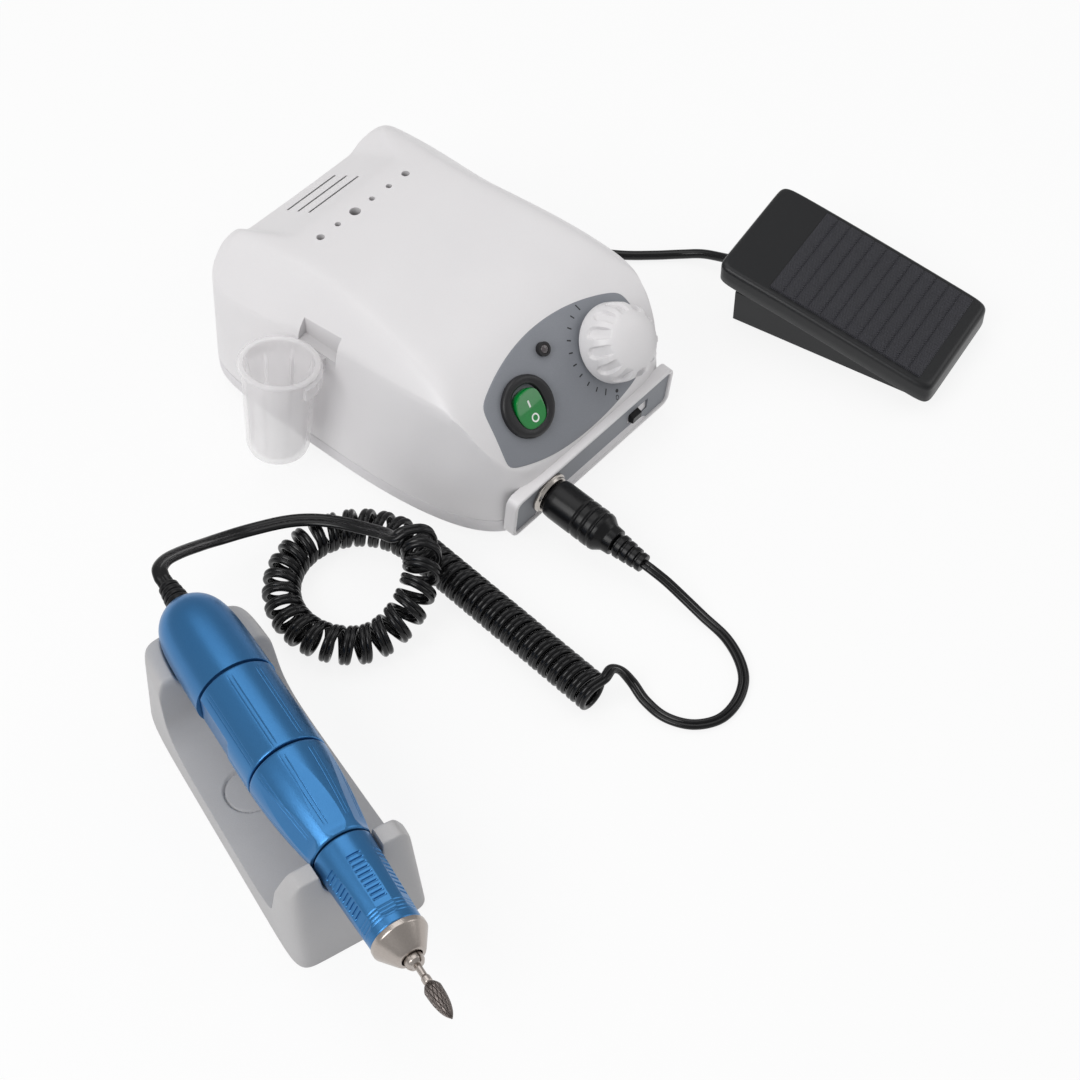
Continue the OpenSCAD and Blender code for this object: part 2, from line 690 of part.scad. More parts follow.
module base_tray() {
    color(shell_white) placed() difference() {
        union() {
            translate([0, 0, foot_h]) linear_extrude(1) polygon(plan_points(1));
            translate([0, 0, foot_h + 1]) linear_extrude(seam_z - foot_h - 1) polygon(plan_points(0));
        }
        translate([0, 0, foot_h + wall]) difference() {
            linear_extrude(seam_z) polygon(plan_points(wall));
            screw_places() cylinder(r = screw_head_r + wall, h = seam_z);
            for (x = [-1, 1], y = [-1, 1]) translate([x * board_hole_x, board_y + y * board_hole_y, 0])
                cylinder(r = 3, h = board_z - foot_h - wall);
        }
        screw_places() {
            cylinder(r = screw_r + seat, h = seam_z + 1);
            cylinder(r = screw_head_r + seat, h = foot_h + wall);
        }
        strip_seat(seat);
    }
}
module unit_feet() {
    color(soft_black) placed() foot_places() cylinder(r = foot_r, h = foot_h);
}
module base_screws() {
    head_h = wall - 0.5;
    color(steel) placed() screw_places() translate([0, 0, foot_h + wall - head_h]) {
        cylinder(r = screw_head_r, h = head_h);
        cylinder(r = screw_r, h = seam_z - foot_h - wall + head_h + screw_bite - 1);
    }
}
module control_panel() {
    color(panel_grey) placed() difference() {
        intersection() {
            lens(0);
            face_roll(face_r + 0.2);
        }
        face_roll(face_r - panel_t + eps);
        panel_holes(seat);
    }
}
module jack_bezel() {
    color(shell_white) placed() on_strip() translate([0, 0, -bezel_t]) difference() {
        strip_block(strip_w, strip_h, strip_corner, bezel_t + 1);
        translate([0, 0, bezel_t - jack_t]) strip_block(strip_w - 2 * strip_rim,
            strip_h - 2 * strip_rim, 2, through);
        jack_holes(seat);
    }
}
slot_h = 6;
slot_w = slider_travel + 7;
module jack_holes(grow) {
    translate([-socket_x, 0, -through / 2]) cylinder(r = socket_r - 1 + grow, h = through);
    translate([slider_x - slot_w / 2, -slot_h / 2, -through / 2]) cube([slot_w, slot_h, through]);
}
module jack_panel() {
    color(panel_grey) placed() on_strip() translate([0, 0, -jack_t]) difference() {
        strip_block(strip_w - 2 * strip_rim - 2 * seat, strip_h - 2 * strip_rim - 2 * seat,
            2 - seat, jack_t);
        jack_holes(seat);
    }
}

// Controls
bezel_h = 2.2;
bezel_lift = 0.3;
switch_floor = 2;
module switch_bezel() {
    color(soft_black) placed() on_panel() translate([-control_x, switch_up, 0]) difference() {
        union() {
            translate([0, 0, bezel_lift]) rotate_extrude()
                polygon([[0, 0], [bezel_r, 0], [bezel_r, bezel_h / 2], [bezel_r - bezel_h / 2, bezel_h],
                    [0, bezel_h]]);
            translate([0, 0, -switch_depth]) cylinder(r = switch_r, h = switch_depth + bezel_h / 2);
        }
        translate([-rocker_w / 2 - play, -rocker_l / 2 - play, switch_floor - switch_depth])
            cube([rocker_w + 2 * play, rocker_l + 2 * play, through]);
    }
}
rocker_pivot = -5;
rocker_top = 3.4;
rocker_axle_r = 2.5;
rocker_dish = 1;
rocker_chamfer = 1.6;
rocker_draft = 1.3;
module rocker() {
    reach = rocker_top - rocker_pivot;
    end = rocker_l / 2 - rocker_draft;
    color(rocker_green) placed() on_panel() translate([-control_x, switch_up, rocker_pivot])
        rotate([rocker_tilt, 0, 0]) rotate([0, 90, 0]) translate([0, 0, -rocker_w / 2]) union() {
            cylinder(r = rocker_axle_r, h = rocker_w);
            linear_extrude(rocker_w)
                polygon([[0, -rocker_axle_r], [0, rocker_axle_r], [rocker_chamfer - reach, end],
                    [-reach, end - rocker_dish / 2], [rocker_dish - reach, 0],
                    [-reach, rocker_dish / 2 - end], [rocker_chamfer - reach, -end]]);
        }
}
lamp_wall = 1;
lamp_sunk = 1.2;
lamp_rim_h = 2;
lamp_body_l = 9;
lamp_well = 6;
module pilot_lamp_bezel() {
    color(soft_black) placed() on_panel() translate([lamp_x, lamp_up, -lamp_sunk]) difference() {
        union() {
            cylinder(r = lamp_r, h = lamp_rim_h);
            translate([0, 0, -lamp_body_l]) cylinder(r = lamp_r - play, h = lamp_body_l + lamp_rim_h / 2);
        }
        translate([0, 0, -lamp_well]) cylinder(r = lamp_r - lamp_wall, h = through);
    }
}
module pilot_lamp() {
    lens_r = lamp_r - lamp_wall - fit;
    lens_l = lamp_well + lamp_rim_h - play;
    color(lamp_smoke) placed() on_panel() translate([lamp_x, lamp_up, -lamp_sunk - lamp_well]) {
        cylinder(r = lens_r, h = lens_l);
        translate([0, 0, lens_l]) rotate_extrude()
            polygon(concat([[0, 0]], [for (a = [0:15:90]) lens_r * [cos(a), 0.5 * sin(a)]]));
    }
}
pot_r = 8.5;
pot_depth = 16;
pot_floor = 3;
bush_wall = 1.5;
bush_out = 1;
module speed_pot() {
    color(steel) placed() on_panel() translate([control_x, 0, 0]) difference() {
        union() {
            translate([0, 0, -pot_depth]) cylinder(r = pot_r, h = pot_depth - wall - bush_out);
            translate([0, 0, -wall - pot_floor])
                cylinder(r = pot_shaft_r + bush_wall, h = wall + pot_floor + bush_out);
        }
        translate([0, 0, pot_floor - pot_depth]) cylinder(r = pot_shaft_r + fit, h = through);
    }
}
module pot_shaft() {
    color(steel) placed() on_panel() translate([control_x, 0, pot_floor + seat - pot_depth])
        cylinder(r = pot_shaft_r, h = pot_depth + knob_h / 2);
}
knob_low = 1.4;
knob_foot = 0.5;
knob_dome = 7;
knob_draw = 2.5;
knob_wall = 3;
knob_hollow = 4;
shaft_top = pot_floor + seat + knob_h / 2;
scallop_r = 2.6;
scallop_set = 1.9;
scallop_from = 4;
scallop_lean = 14;
module speed_knob() {
    shoulder = knob_h - knob_dome;
    side = [for (u = [0:0.25:0.75]) [knob_r - knob_draw * u * u, knob_foot + shoulder * u]];
    dome = [for (a = [0:15:90]) [(knob_r - knob_draw) * cos(a),
        shoulder + knob_foot + (knob_dome - knob_foot) * sin(a)]];
    color(shell_white) placed() on_panel() translate([control_x, 0, knob_low]) difference() {
        rotate_extrude($fn = 96)
            polygon(concat([[0, 0], [knob_r - knob_foot, 0]], side, dome, [[0, knob_h]]));
        translate([0, 0, -eps]) cylinder(r = pot_shaft_r + fit, h = shaft_top - knob_low + seat);
        translate([0, 0, -eps]) difference() {
            cylinder(r = knob_r - knob_wall, h = knob_hollow);
            cylinder(r = pot_shaft_r + knob_wall, h = through);
        }
        for (i = [0:knob_scallops - 1]) rotate([0, 0, 360 * i / knob_scallops])
            translate([knob_r + scallop_set, 0, scallop_from]) rotate([0, -scallop_lean, 0])
                cylinder(r = scallop_r, h = knob_h);
    }
}
slider_l = 5;
slider_out = 3.6;
slider_set = 1;
slider_deep = 7.8;
case_wall = 1;
case_floor = 1.5;
case_h = 5.2;
slider_gap = 0.2;
case_z = jack_t + slider_deep + case_floor + slider_gap;
module direction_switch() {
    color(soft_black) placed() on_strip() translate([slider_x, 0, -case_z]) difference() {
        translate([-slot_w / 2 - case_wall, -slot_h / 2 - case_wall, 0])
            cube([slot_w + 2 * case_wall, slot_h + 2 * case_wall, case_h]);
        translate([-slot_w / 2, -slot_h / 2, case_floor]) cube([slot_w, slot_h, through]);
    }
}
module direction_slider() {
    tall = slot_h - 2 * play;
    color(black) placed() on_strip()
        translate([slider_x - slot_w / 2 + slider_set, -tall / 2, -jack_t - slider_deep]) {
            cube([slider_l, tall, slider_deep]);
            translate([0, 0, slider_deep]) rotate([90, 0, 90]) linear_extrude(slider_l)
                polygon([[0, 0], [tall, 0], [tall - slider_set, slider_out], [slider_set, slider_out]]);
        }
}
socket_depth = 18;
socket_out = 2.6;
socket_floor = 2;
contact_r = 3;
module motor_socket() {
    color(steel) placed() on_strip() translate([-socket_x, 0, 0]) difference() {
        union() {
            cylinder(r = socket_r, h = socket_out);
            translate([0, 0, -socket_depth]) cylinder(r = socket_r - 1, h = socket_depth + 1);
        }
        translate([0, 0, socket_floor - socket_depth]) cylinder(r = contact_r + fit, h = through);
    }
}
back_socket_l = 14;
back_contact_r = 1.75;
back_rim = 1.4;
module pedal_socket() {
    color(soft_black) placed() translate([pedal_plug_at[0], half_d, pedal_plug_at[2]])
        rotate([-90, 0, 0]) difference() {
            union() {
                translate([0, 0, -back_socket_l]) cylinder(r = socket_back_r, h = back_socket_l + rim_lift);
                cylinder(r = socket_back_r + back_rim, h = 2 * rim_lift);
            }
            translate([0, 0, pot_floor - back_socket_l]) cylinder(r = back_contact_r + fit, h = through);
        }
}
rim_lift = 0.5;
inlet_depth = 18;
inlet_rim = 3;
inlet_rim_t = 1.6;
inlet_well = 13;
inlet_wall = 3.2;
inlet_pin_r = 1.2;
inlet_pin_l = 10;
inlet_pin_x = 3.5;
module mains_inlet() {
    color(soft_black) placed() translate([inlet_x, half_d, inlet_z]) difference() {
        union() {
            translate([-inlet_w / 2, -inlet_depth, -inlet_h / 2])
                cube([inlet_w, inlet_depth + 2 * rim_lift, inlet_h]);
            translate([-inlet_w / 2 - inlet_rim, rim_gap, -inlet_h / 2 - inlet_rim / 2])
                cube([inlet_w + 2 * inlet_rim, inlet_rim_t, inlet_h + inlet_rim]);
        }
        translate([-inlet_w / 2 + inlet_wall, -inlet_well, -inlet_h / 2 + inlet_wall])
            cube([inlet_w - 2 * inlet_wall, through, inlet_h - 2 * inlet_wall]);
    }
    color(steel) placed() for (x = [-1, 1])
        translate([inlet_x + x * inlet_pin_x, half_d - inlet_well - 1, inlet_z]) rotate([-90, 0, 0])
            cylinder(r = inlet_pin_r, h = inlet_pin_l);
}
rim_gap = 0.1;
fuse_depth = 21;
fuse_cap = 2.2;
fuse_rim = 1.5;
module fuse_holder() {
    color(soft_black) placed() translate([fuse_x, half_d, fuse_z]) rotate([-90, 0, 0]) {
        translate([0, 0, -fuse_depth]) cylinder(r = fuse_r, h = fuse_depth + rim_lift);
        translate([0, 0, rim_gap]) cylinder(r = fuse_r + fuse_rim, h = fuse_cap);
    }
}

// Inside the unit
core_at = [0, 32, foot_h + wall];
core_w = 54;
core_h = 45;
core_d = 30;
leg_w = 9;
module transformer_core() {
    color(core_grey) placed() translate(core_at) difference() {
        translate([-core_w / 2, -core_d / 2, 0]) cube([core_w, core_d, core_h]);
        for (x = [-1, 1]) translate([x * leg_w * 1.5 - leg_w / 2, -core_d, leg_w])
            cube([leg_w, 2 * core_d, core_h - 2 * leg_w]);
    }
}
module transformer_coil() {
    coil_w = 2 * leg_w + 2 * (leg_w - 0.5);
    coil_d = core_d + 2 * (leg_w - 0.5);
    color(copper) placed() translate(core_at + [0, 0, leg_w]) difference() {
        translate([-coil_w / 2, -coil_d / 2, 0]) cube([coil_w, coil_d, core_h - 2 * leg_w - 1]);
        translate([-leg_w - seat, -core_d / 2 - seat, -1]) cube([2 * (leg_w + seat),
            core_d + 2 * seat, core_h]);
    }
}
board_y = -33;
board_z = seam_z;
board_w = 56;
board_d = 50;
board_t = 1.6;
board_hole_x = 24;
board_hole_y = 21;
board_hole_r = 1.6;
relay = [16, 12, 11];
relay_at = [8, -4];
chip = [14, 8, 3];
chip_at = [-10, -12];
terminal = [8, 6, 8];
terminal_at = [8, -18];
module on_board(at) {
    translate([at[0], at[1], board_t]) children();
}
module circuit_board() {
    color(board_green) placed() translate([0, board_y, board_z]) {
        difference() {
            translate([-board_w / 2, -board_d / 2, 0]) cube([board_w, board_d, board_t]);
            for (x = [-1, 1], y = [-1, 1]) translate([x * board_hole_x, y * board_hole_y, -board_t])
                cylinder(r = board_hole_r, h = 3 * board_t);
        }
        on_board(relay_at) cube(relay);
        on_board(chip_at) cube(chip);
        on_board(terminal_at) cube(terminal);
    }
}
sink_x = -26;
sink_w = 26;
sink_h = 24;
sink_t = 3;
fin_count = 6;
fin_t = 2;
fin_l = 10;
module heat_sink() {
    color(steel) placed() translate([sink_x, board_y, board_z + board_t]) {
        cube([sink_w, sink_t, sink_h]);
        for (i = [0:fin_count - 1]) translate([i * (sink_w - fin_t) / (fin_count - 1), sink_t, 0])
            cube([fin_t, fin_l, sink_h]);
    }
}
can_set = 8;
large_can_r = 6.5;
large_can_h = 26;
small_can_x = 21;
small_can_r = 4;
small_can_h = 16;
module capacitors() {
    color(sleeve_blue) placed() translate([0, board_y + board_d / 2 - can_set, board_z + board_t]) {
        translate([can_set, 0, 0]) cylinder(r = large_can_r, h = large_can_h);
        translate([small_can_x, 0, 0]) cylinder(r = small_can_r, h = small_can_h);
    }
}

// Cup
module cup_bracket() {
    color(clear) placed() union() {
        on_cup() translate([0, 0, hoop_z]) difference() {
            cylinder(r = cup_radius(hoop_z) + play + hoop_t, h = hoop_h);
            translate([0, 0, -eps]) cylinder(r = cup_radius(hoop_z + hoop_h) + play, h = hoop_h + 1);
            translate([-through - hoop_t, -through / 2, -eps]) cube([through, through, hoop_h + 1]);
        }
        difference() {
            tongue(0);
            on_cup() translate([0, 0, hoop_z - 1]) cylinder(r = cup_radius(hoop_z + hoop_h) + play,
                h = hoop_h + 2);
        }
    }
}
module bur_cup() {
    floor_t = 2;
    floor_dish = 0.4;
    foot_ring = 3;
    foot_lift = 0.6;
    rim_slope = 0.3;
    rib_t = 1;
    rib_from = 3;
    rib_to = cup_h - 8;
    rib_foot = 1.6;
    rib_top = 0.8;
    inside = function (z) cup_radius(z) - cup_wall;
    color(clear) placed() on_cup() union() {
        rotate_extrude($fn = 64) polygon([
            [0, foot_lift], [cup_foot_r - foot_ring, 0], [cup_foot_r - 1, foot_lift],
            [cup_radius(floor_t), floor_t], [cup_r, cup_h - rim_h],
            [rim_r, cup_h - rim_h + rim_slope], [rim_r, cup_h], [cup_r - cup_wall, cup_h],
            [inside(2 * floor_t), 2 * floor_t], [cup_foot_r - foot_ring, floor_t],
            [0, floor_t + floor_dish]]);
        for (i = [0:cup_ribs - 1]) rotate([0, 0, 360 * (i + 0.5) / cup_ribs]) rotate([90, 0, 0])
            translate([0, 0, -rib_t / 2]) linear_extrude(rib_t)
                polygon([[inside(rib_from) - rib_foot, rib_from], [inside(rib_from) + 0.5, rib_from],
                    [inside(rib_to) + 0.5, rib_to], [inside(rib_to) - rib_top, rib_to]]);
    }
}

// Pedal
module across(w) {
    rotate([90, 0, 90]) translate([0, 0, -w / 2]) linear_extrude(w) children();
}
function base_top(y) = pin_z - 0.5 + max(0, (y - pin_y)) * tan(atan2(kink_z() - treadle_low,
    kink_y + half_t) - treadle_travel) + 2;
base_back = base_front + base_l;
module pedal_base() {
    color(soft_black) placed() on_pedal() difference() {
        across(base_w) polygon([[base_front, base_z], [base_back, base_z], [base_back,
            base_top(base_back) - treadle_t],
            [pin_y + 3 * pin_r, pin_z + pin_r], [base_front, pin_z + pin_r]]);
        translate([-base_w / 2 + pedal_wall, base_front + pedal_wall, base_z + pedal_wall])
            cube([base_w - 2 * pedal_wall, base_l - 2 * pedal_wall, through]);
        translate([-through, pin_y, pin_z]) rotate([0, 90, 0]) cylinder(r = pin_r + fit, h = 2 * through);
        translate([0, base_back + 1, lead_z]) rotate([90, 0, 0]) cylinder(r = gland_hole_r,
            h = pedal_wall + 2);
        pedal_feet_places() translate([0, 0, -eps]) cylinder(r = screw_r - 0.2,
            h = base_z + pedal_wall - 0.5);
    }
}
gland_hole_r = 3.1;
module pedal_feet_places() {
    for (x = [-1, 1], y = [base_front + 9, base_back - 9]) translate([x * (base_w / 2 - 7), y,
        0]) children();
}
module pedal_bottom() {
    color(steel) placed() on_pedal() difference() {
        translate([-base_w / 2, base_front, pad_h]) cube([base_w, base_l, plate_t]);
        pedal_feet_places() cylinder(r = screw_r, h = through);
    }
}
module pedal_feet() {
    color(black) placed() on_pedal() pedal_feet_places() {
        cylinder(r = 5, h = pad_h);
        translate([0, 0, pad_h / 2]) cylinder(r = screw_r - 0.25, h = pad_h / 2 + plate_t + 1.5);
    }
}
switch_l = 20;
switch_w = 6.4;
switch_h = 6;
plunger_w = 3;
plunger_h = 1.2;
plunger_y = 5;
module pedal_switch() {
    from = [-switch_w / 2, -switch_l * 0.4, base_z + pedal_wall];
    color(soft_black) placed() on_pedal() translate(from) {
        cube([switch_w, switch_l, switch_h]);
        translate([(switch_w - plunger_w) / 2, plunger_y, switch_h])
            cube([plunger_w, plunger_w, plunger_h]);
    }
}
spring_seat = base_z + pedal_wall;
function spring_top() = treadle_z(spring_y) - treadle_t / cos(12) - 0.5;
function spring_path() =
    [for (i = [0:spring_turns * 12])
        let (u = i / (spring_turns * 12), a = 360 * spring_turns * u)
        [spring_r * cos(a), spring_y + spring_r * sin(a),
         spring_seat + spring_wire + 0.1 + (spring_top() - spring_seat - 2 * spring_wire - 0.6) * u]];
module pedal_spring() {
    p = spring_path();
    gap = (spring_top() - spring_seat) / spring_turns - 2 * spring_wire;
    echo(pedal_spring_least_gap = gap);
    color(steel) placed() on_pedal() tube(p, [for (q = p) [0, 0, 1]], 2 * spring_wire,
        2 * spring_wire, 6);
}
module pedal_pin() {
    color(steel) placed() on_pedal() translate([-treadle_w / 2 + 1, pin_y, pin_z]) rotate([0, 90, 0])
        cylinder(r = pin_r, h = treadle_w - 2);
}
gland_out = 6;
module pedal_gland() {
    color(black) placed() on_pedal() translate([0, base_back - pedal_wall - 2, lead_z])
        rotate([-90, 0, 0]) rotate_extrude()
        polygon([[0, 0], [gland_hole_r + 1.2, 0], [gland_hole_r + 1.2, 2 - seat],
            [gland_hole_r - seat, 2 - seat],
            [gland_hole_r - seat, pedal_wall + 2 + seat], [gland_hole_r + 1, pedal_wall + 2 + seat],
            [gland_hole_r - 0.4, pedal_wall + 2 + gland_out], [0, pedal_wall + 2 + gland_out]]);
}
mat_from = -half_t + 6;
mat_to = kink_y - 3;
mat_t = 1.4;
mat_margin = 3;
module treadle() {
    top = [[-half_t, treadle_low - 1.5], [-half_t + 1.5, treadle_z(-half_t + 1.5)], [kink_y, kink_z()],
        [half_t - 1.5, treadle_high], [half_t, treadle_high - 1.5]];
    skirt_line = [[half_t, treadle_high - skirt_h], [kink_y, kink_z() - skirt_h], [-half_t,
        treadle_low - skirt_h]];
    color(soft_black) placed() on_pedal() difference() {
        across(treadle_w) polygon(concat(top, skirt_line));
        across(treadle_w - 2 * pedal_wall) polygon([[-half_t + pedal_wall, treadle_low - treadle_t],
            [kink_y, kink_z() - treadle_t], [half_t - pedal_wall, treadle_high - treadle_t],
            [half_t - pedal_wall, -10], [-half_t + pedal_wall, -10]]);
        translate([-through, pin_y, pin_z]) rotate([0, 90, 0]) cylinder(r = pin_r + fit, h = 2 * through);
        mat_block(mat_from - seat, mat_to + seat, treadle_w - 2 * mat_margin + 2 * seat, 0.6);
    }
}
module mat_block(from, to, w, sink) {
    across(w) polygon([[from, treadle_z(from) - sink], [to, treadle_z(to) - sink], [to,
        treadle_z(to) + 5],
        [from, treadle_z(from) + 5]]);
}
module treadle_mat() {
    band = (mat_to - mat_from) / mat_bands;
    ridge_at = function (y, up) [y, treadle_z(y) + up];
    over = mat_t - 0.6;
    teeth = [for (i = [0:mat_bands - 1])
        let (a = mat_from + i * band)
        each [ridge_at(a + 0.5, over - 0.5), ridge_at(a + 0.9, over), ridge_at(a + band - 0.9, over),
              ridge_at(a + band - 0.5, over - 0.5)]];
    color(black) placed() on_pedal() across(treadle_w - 2 * mat_margin)
        polygon(concat([ridge_at(mat_from, -0.6), ridge_at(mat_from, over - 0.5)], teeth,
            [ridge_at(mat_to, over - 0.5), ridge_at(mat_to, -0.6)]));
}

// Cradle: t runs from the back to the front along the handpiece
cradle_back = 0;
yoke_t = 12;
rest_t = 23;
function cradle_arc(cx, cz, r, from, to) = [for (i = [0:6]) let (a = from + (to - from) * i / 6)
    [cx + r * cos(a), cz + r * sin(a)]];
module cradle_side() {
    front = cradle_back + cradle_l;
    bend = 13;
    lip = 5;
    polygon(concat([[cradle_back, 0], [cradle_back, back_rest_h - lip]],
        cradle_arc(cradle_back + lip, back_rest_h - lip, lip, 180, 90),
        cradle_arc(cradle_back + rest_t - lip, back_rest_h - lip, lip, 90, 10),
        cradle_arc(cradle_back + rest_t + bend, cradle_floor + bend, bend, 180, 270),
        cradle_arc(front - yoke_t - bend, cradle_floor + bend, bend, 270, 355),
        cradle_arc(front - yoke_t + lip, yoke_h - lip, lip, 175, 20),
        [[front, lip], [front, 0]]));
}
module cradle_end() {
    half = cradle_front_w / 2;
    horn_x = 16;
    horn_drop = 2;
    polygon([[-half, 0], [half, 0], [half, back_rest_h - 8], [horn_x + 4, yoke_h - horn_drop],
        [horn_x + 1, yoke_h],
        [-horn_x - 1, yoke_h], [-horn_x - 4, yoke_h - horn_drop], [-half, back_rest_h - 8]]);
}
module cradle_plan() {
    front = cradle_back + cradle_l;
    corner = 6;
    linear_extrude(yoke_h + 1) hull() {
        for (x = [-1, 1]) {
            translate([x * (cradle_back_w / 2 - corner), -cradle_back - corner]) circle(corner, $fn = 32);
            translate([x * (cradle_front_w / 2 - corner), corner - front]) circle(corner, $fn = 32);
        }
    }
}
cap_steps = [0, 1, 2.5, 4.5, 7, 10, 14, 19, 26];
module hand_space(grow) {
    past = 20;
    profile = concat([[0, -past]], [[cap_radius(0) + grow, -past]],
        [for (z = concat(cap_steps, [cap_l])) [cap_radius(z) + grow, z]],
        [[body_r + grow, sleeve_z + 2], [body_r + grow, ring_z]],
        [for (u = [0.2:0.2:1]) [ring_radius(u) + grow, ring_z + ring_l * u]],
        [[grip_r + grow, grip_z], [grip_r + grow, nose_z + past], [0, nose_z + past]]);
    on_hand() {
        rotate_extrude($fn = 64) polygon(profile);
        rotate([90, 0, 180]) linear_extrude(through) polygon(concat(profile,
            [for (i = [len(profile) - 1:-1:0])
            [-profile[i][0], profile[i][1]]]));
    }
}
module cradle() {
    color(cradle_grey) placed() difference() {
        translate([hand_at[0], hand_at[1], 0]) rotate([0, 0, hand_turn]) intersection() {
            cradle_plan();
            rotate([90, 0, -90]) translate([0, 0, -through]) linear_extrude(2 * through) cradle_side();
            rotate([90, 0, 0]) translate([0, 0, -through]) linear_extrude(4 * through) cradle_end();
        }
        hand_space(play);
    }
}

// Handpiece
module turned(points) {
    rotate_extrude($fn = 72) polygon(points);
}
cap_end = cap_l - groove / 2;
module rear_cap() {
    steps = concat(cap_steps, [cap_end]);
    outer = [for (z = steps) [cap_radius(z), z]];
    inner = [for (i = [len(steps) - 1:-1:1]) [cap_radius(steps[i]) - sleeve_wall,
        steps[i] + (i < 4 ? 1 : 0)]];
    color(anodised) placed() on_hand() difference() {
        union() {
            turned(concat([[gland_r + seat, 0]], outer, inner, [[gland_r + seat, 2]]));
            translate([0, 0, bearing_z]) difference() {
                cylinder(r = cap_radius(bearing_z) - sleeve_wall / 2, h = bearing_l);
                translate([0, 0, -1]) cylinder(r = bearing_r + seat, h = bearing_l + 2);
            }
        }
    }
}
bearing_z = 10;
module motor_sleeve() {
    from = sleeve_z + groove / 2;
    to = ring_z - groove / 2;
    flat_depth = 1;
    flat_l = 24;
    flat_h = 16;
    color(anodised) placed() on_hand() difference() {
        translate([0, 0, from]) cylinder(r = body_r, h = to - from);
        translate([0, 0, from - 1]) cylinder(r = can_r + seat, h = to - from - 4);
        translate([0, 0, to - 6]) cylinder(r = tube_r + seat, h = through);
        for (x = [-1, 1]) translate([x * (body_r - flat_depth + flat_h / 2), 0, from])
            cube([flat_h, flat_h, 2 * flat_l], center = true);
    }
}
module chuck_ring() {
    from = ring_z + groove / 2;
    to = grip_z - groove / 2;
    color(anodised) placed() on_hand() turned(concat([[tube_r + fit, from], [body_r - 0.6, from]],
        [for (u = [0.02, 0.2, 0.4, 0.6, 0.8, 1]) [ring_radius(u),
            from + 0.6 + (to - from - 0.6) * u]], [[tube_r + fit, to]]));
}
module nose_grip() {
    steps = [0, 0.25, 0.5, 0.75, 0.97];
    front = cone_z - 0.3;
    color(anodised) placed() on_hand() turned(concat([[tube_r - sleeve_wall, ring_z - 4], [tube_r,
        ring_z - 4], [tube_r, grip_z],
        [grip_r - 0.4, grip_z]], [for (u = steps) [grip_radius(u),
            grip_z + 0.4 + (front - grip_z - 0.4) * u]],
        [[grip_end_r - 0.4, front], [tube_r - sleeve_wall, front]]));
}
cone_end_r = 4.8;
module nose_cone() {
    color(steel) placed() on_hand() difference() {
        turned([[0, cone_z - 4], [tube_r - sleeve_wall - seat, cone_z - 4],
            [tube_r - sleeve_wall - seat, cone_z],
            [grip_end_r + 0.5, cone_z], [grip_end_r + 0.5, cone_z + 1.8], [cone_end_r + 0.8,
                nose_z - 0.8],
            [cone_end_r, nose_z], [0, nose_z]]);
        translate([0, 0, cone_z - 5]) cylinder(r = spindle_nose_r + play, h = cone_l);
        translate([0, 0, cone_z]) cylinder(r = collet_nose_r + play, h = through);
    }
}
gland_ribs = 4;
module handpiece_gland() {
    step = (gland_l - 2) / gland_ribs;
    ribs = [for (i = [0:gland_ribs - 1])
        let (z = -2 - i * step, r = gland_r - 0.9 * i / gland_ribs)
        each [[r, z], [r, z - step * 0.62], [r - 0.9, z - step * 0.66], [r - 0.9, z - step]]];
    color(black) placed() on_hand() turned(concat([[0, 3], [gland_r + 1.4, 3], [gland_r + 1.4, 2],
        [gland_r, 2]], ribs, [[0, -gland_l]]));
}
can_to = ring_z - 6;
module motor_can() {
    color(can_grey) placed() on_hand() translate([0, 0, sleeve_z - 4]) difference() {
        cylinder(r = can_r, h = can_to - sleeve_z + 4);
        translate([0, 0, -1]) cylinder(r = can_r - can_wall, h = through);
    }
}
module rotor() {
    color(copper) placed() on_hand() translate([0, 0, sleeve_z - 2]) difference() {
        cylinder(r = rotor_r, h = sleeve_l - 6);
        translate([0, 0, -1]) cylinder(r = spindle_r + fit / 2, h = through);
    }
}
comm_z = 20;
comm_r = 4.4;
comm_l = 11;
module commutator() {
    color(bar_copper) placed() on_hand() translate([0, 0, comm_z]) difference() {
        cylinder(r = comm_r, h = comm_l);
        translate([0, 0, -1]) cylinder(r = spindle_r + fit / 2, h = through);
    }
}
brush_w = 4;
module brushes() {
    reach = cap_radius(comm_z) - sleeve_wall - 0.2;
    color(carbon_grey) placed() on_hand() for (a = [90, 270]) rotate([0, 0, a])
        translate([comm_r + 0.2, -brush_w / 2, comm_z + 3]) cube([reach - comm_r - 0.6, brush_w, 5]);
}
front_bearing_z = cone_z - 11;
module bearings() {
    color(steel) placed() on_hand() {
        translate([0, 0, bearing_z]) difference() {
            cylinder(r = bearing_r, h = bearing_l);
            translate([0, 0, -1]) cylinder(r = spindle_r + fit, h = through);
        }
        translate([0, 0, front_bearing_z]) difference() {
            cylinder(r = tube_r - sleeve_wall - seat / 2, h = bearing_l);
            translate([0, 0, -1]) cylinder(r = spindle_nose_r + fit, h = through);
        }
    }
}
spindle_from = 8;
spindle_step = ring_z + 6;
spindle_to = cone_z + 1.6;
module spindle() {
    color(steel) placed() on_hand() difference() {
        union() {
            translate([0, 0, spindle_from]) cylinder(r = spindle_r, h = spindle_step - spindle_from + 1);
            translate([0, 0, spindle_step]) cylinder(r = spindle_nose_r, h = spindle_to - spindle_step);
        }
        translate([0, 0, spindle_to - collet_l]) cylinder(r = collet_r + fit, h = collet_l + 1);
    }
}
collet_draw = 0.8;
collet_tip = 1;
collet_end = nose_z + collet_out;
bore_depth = 32;
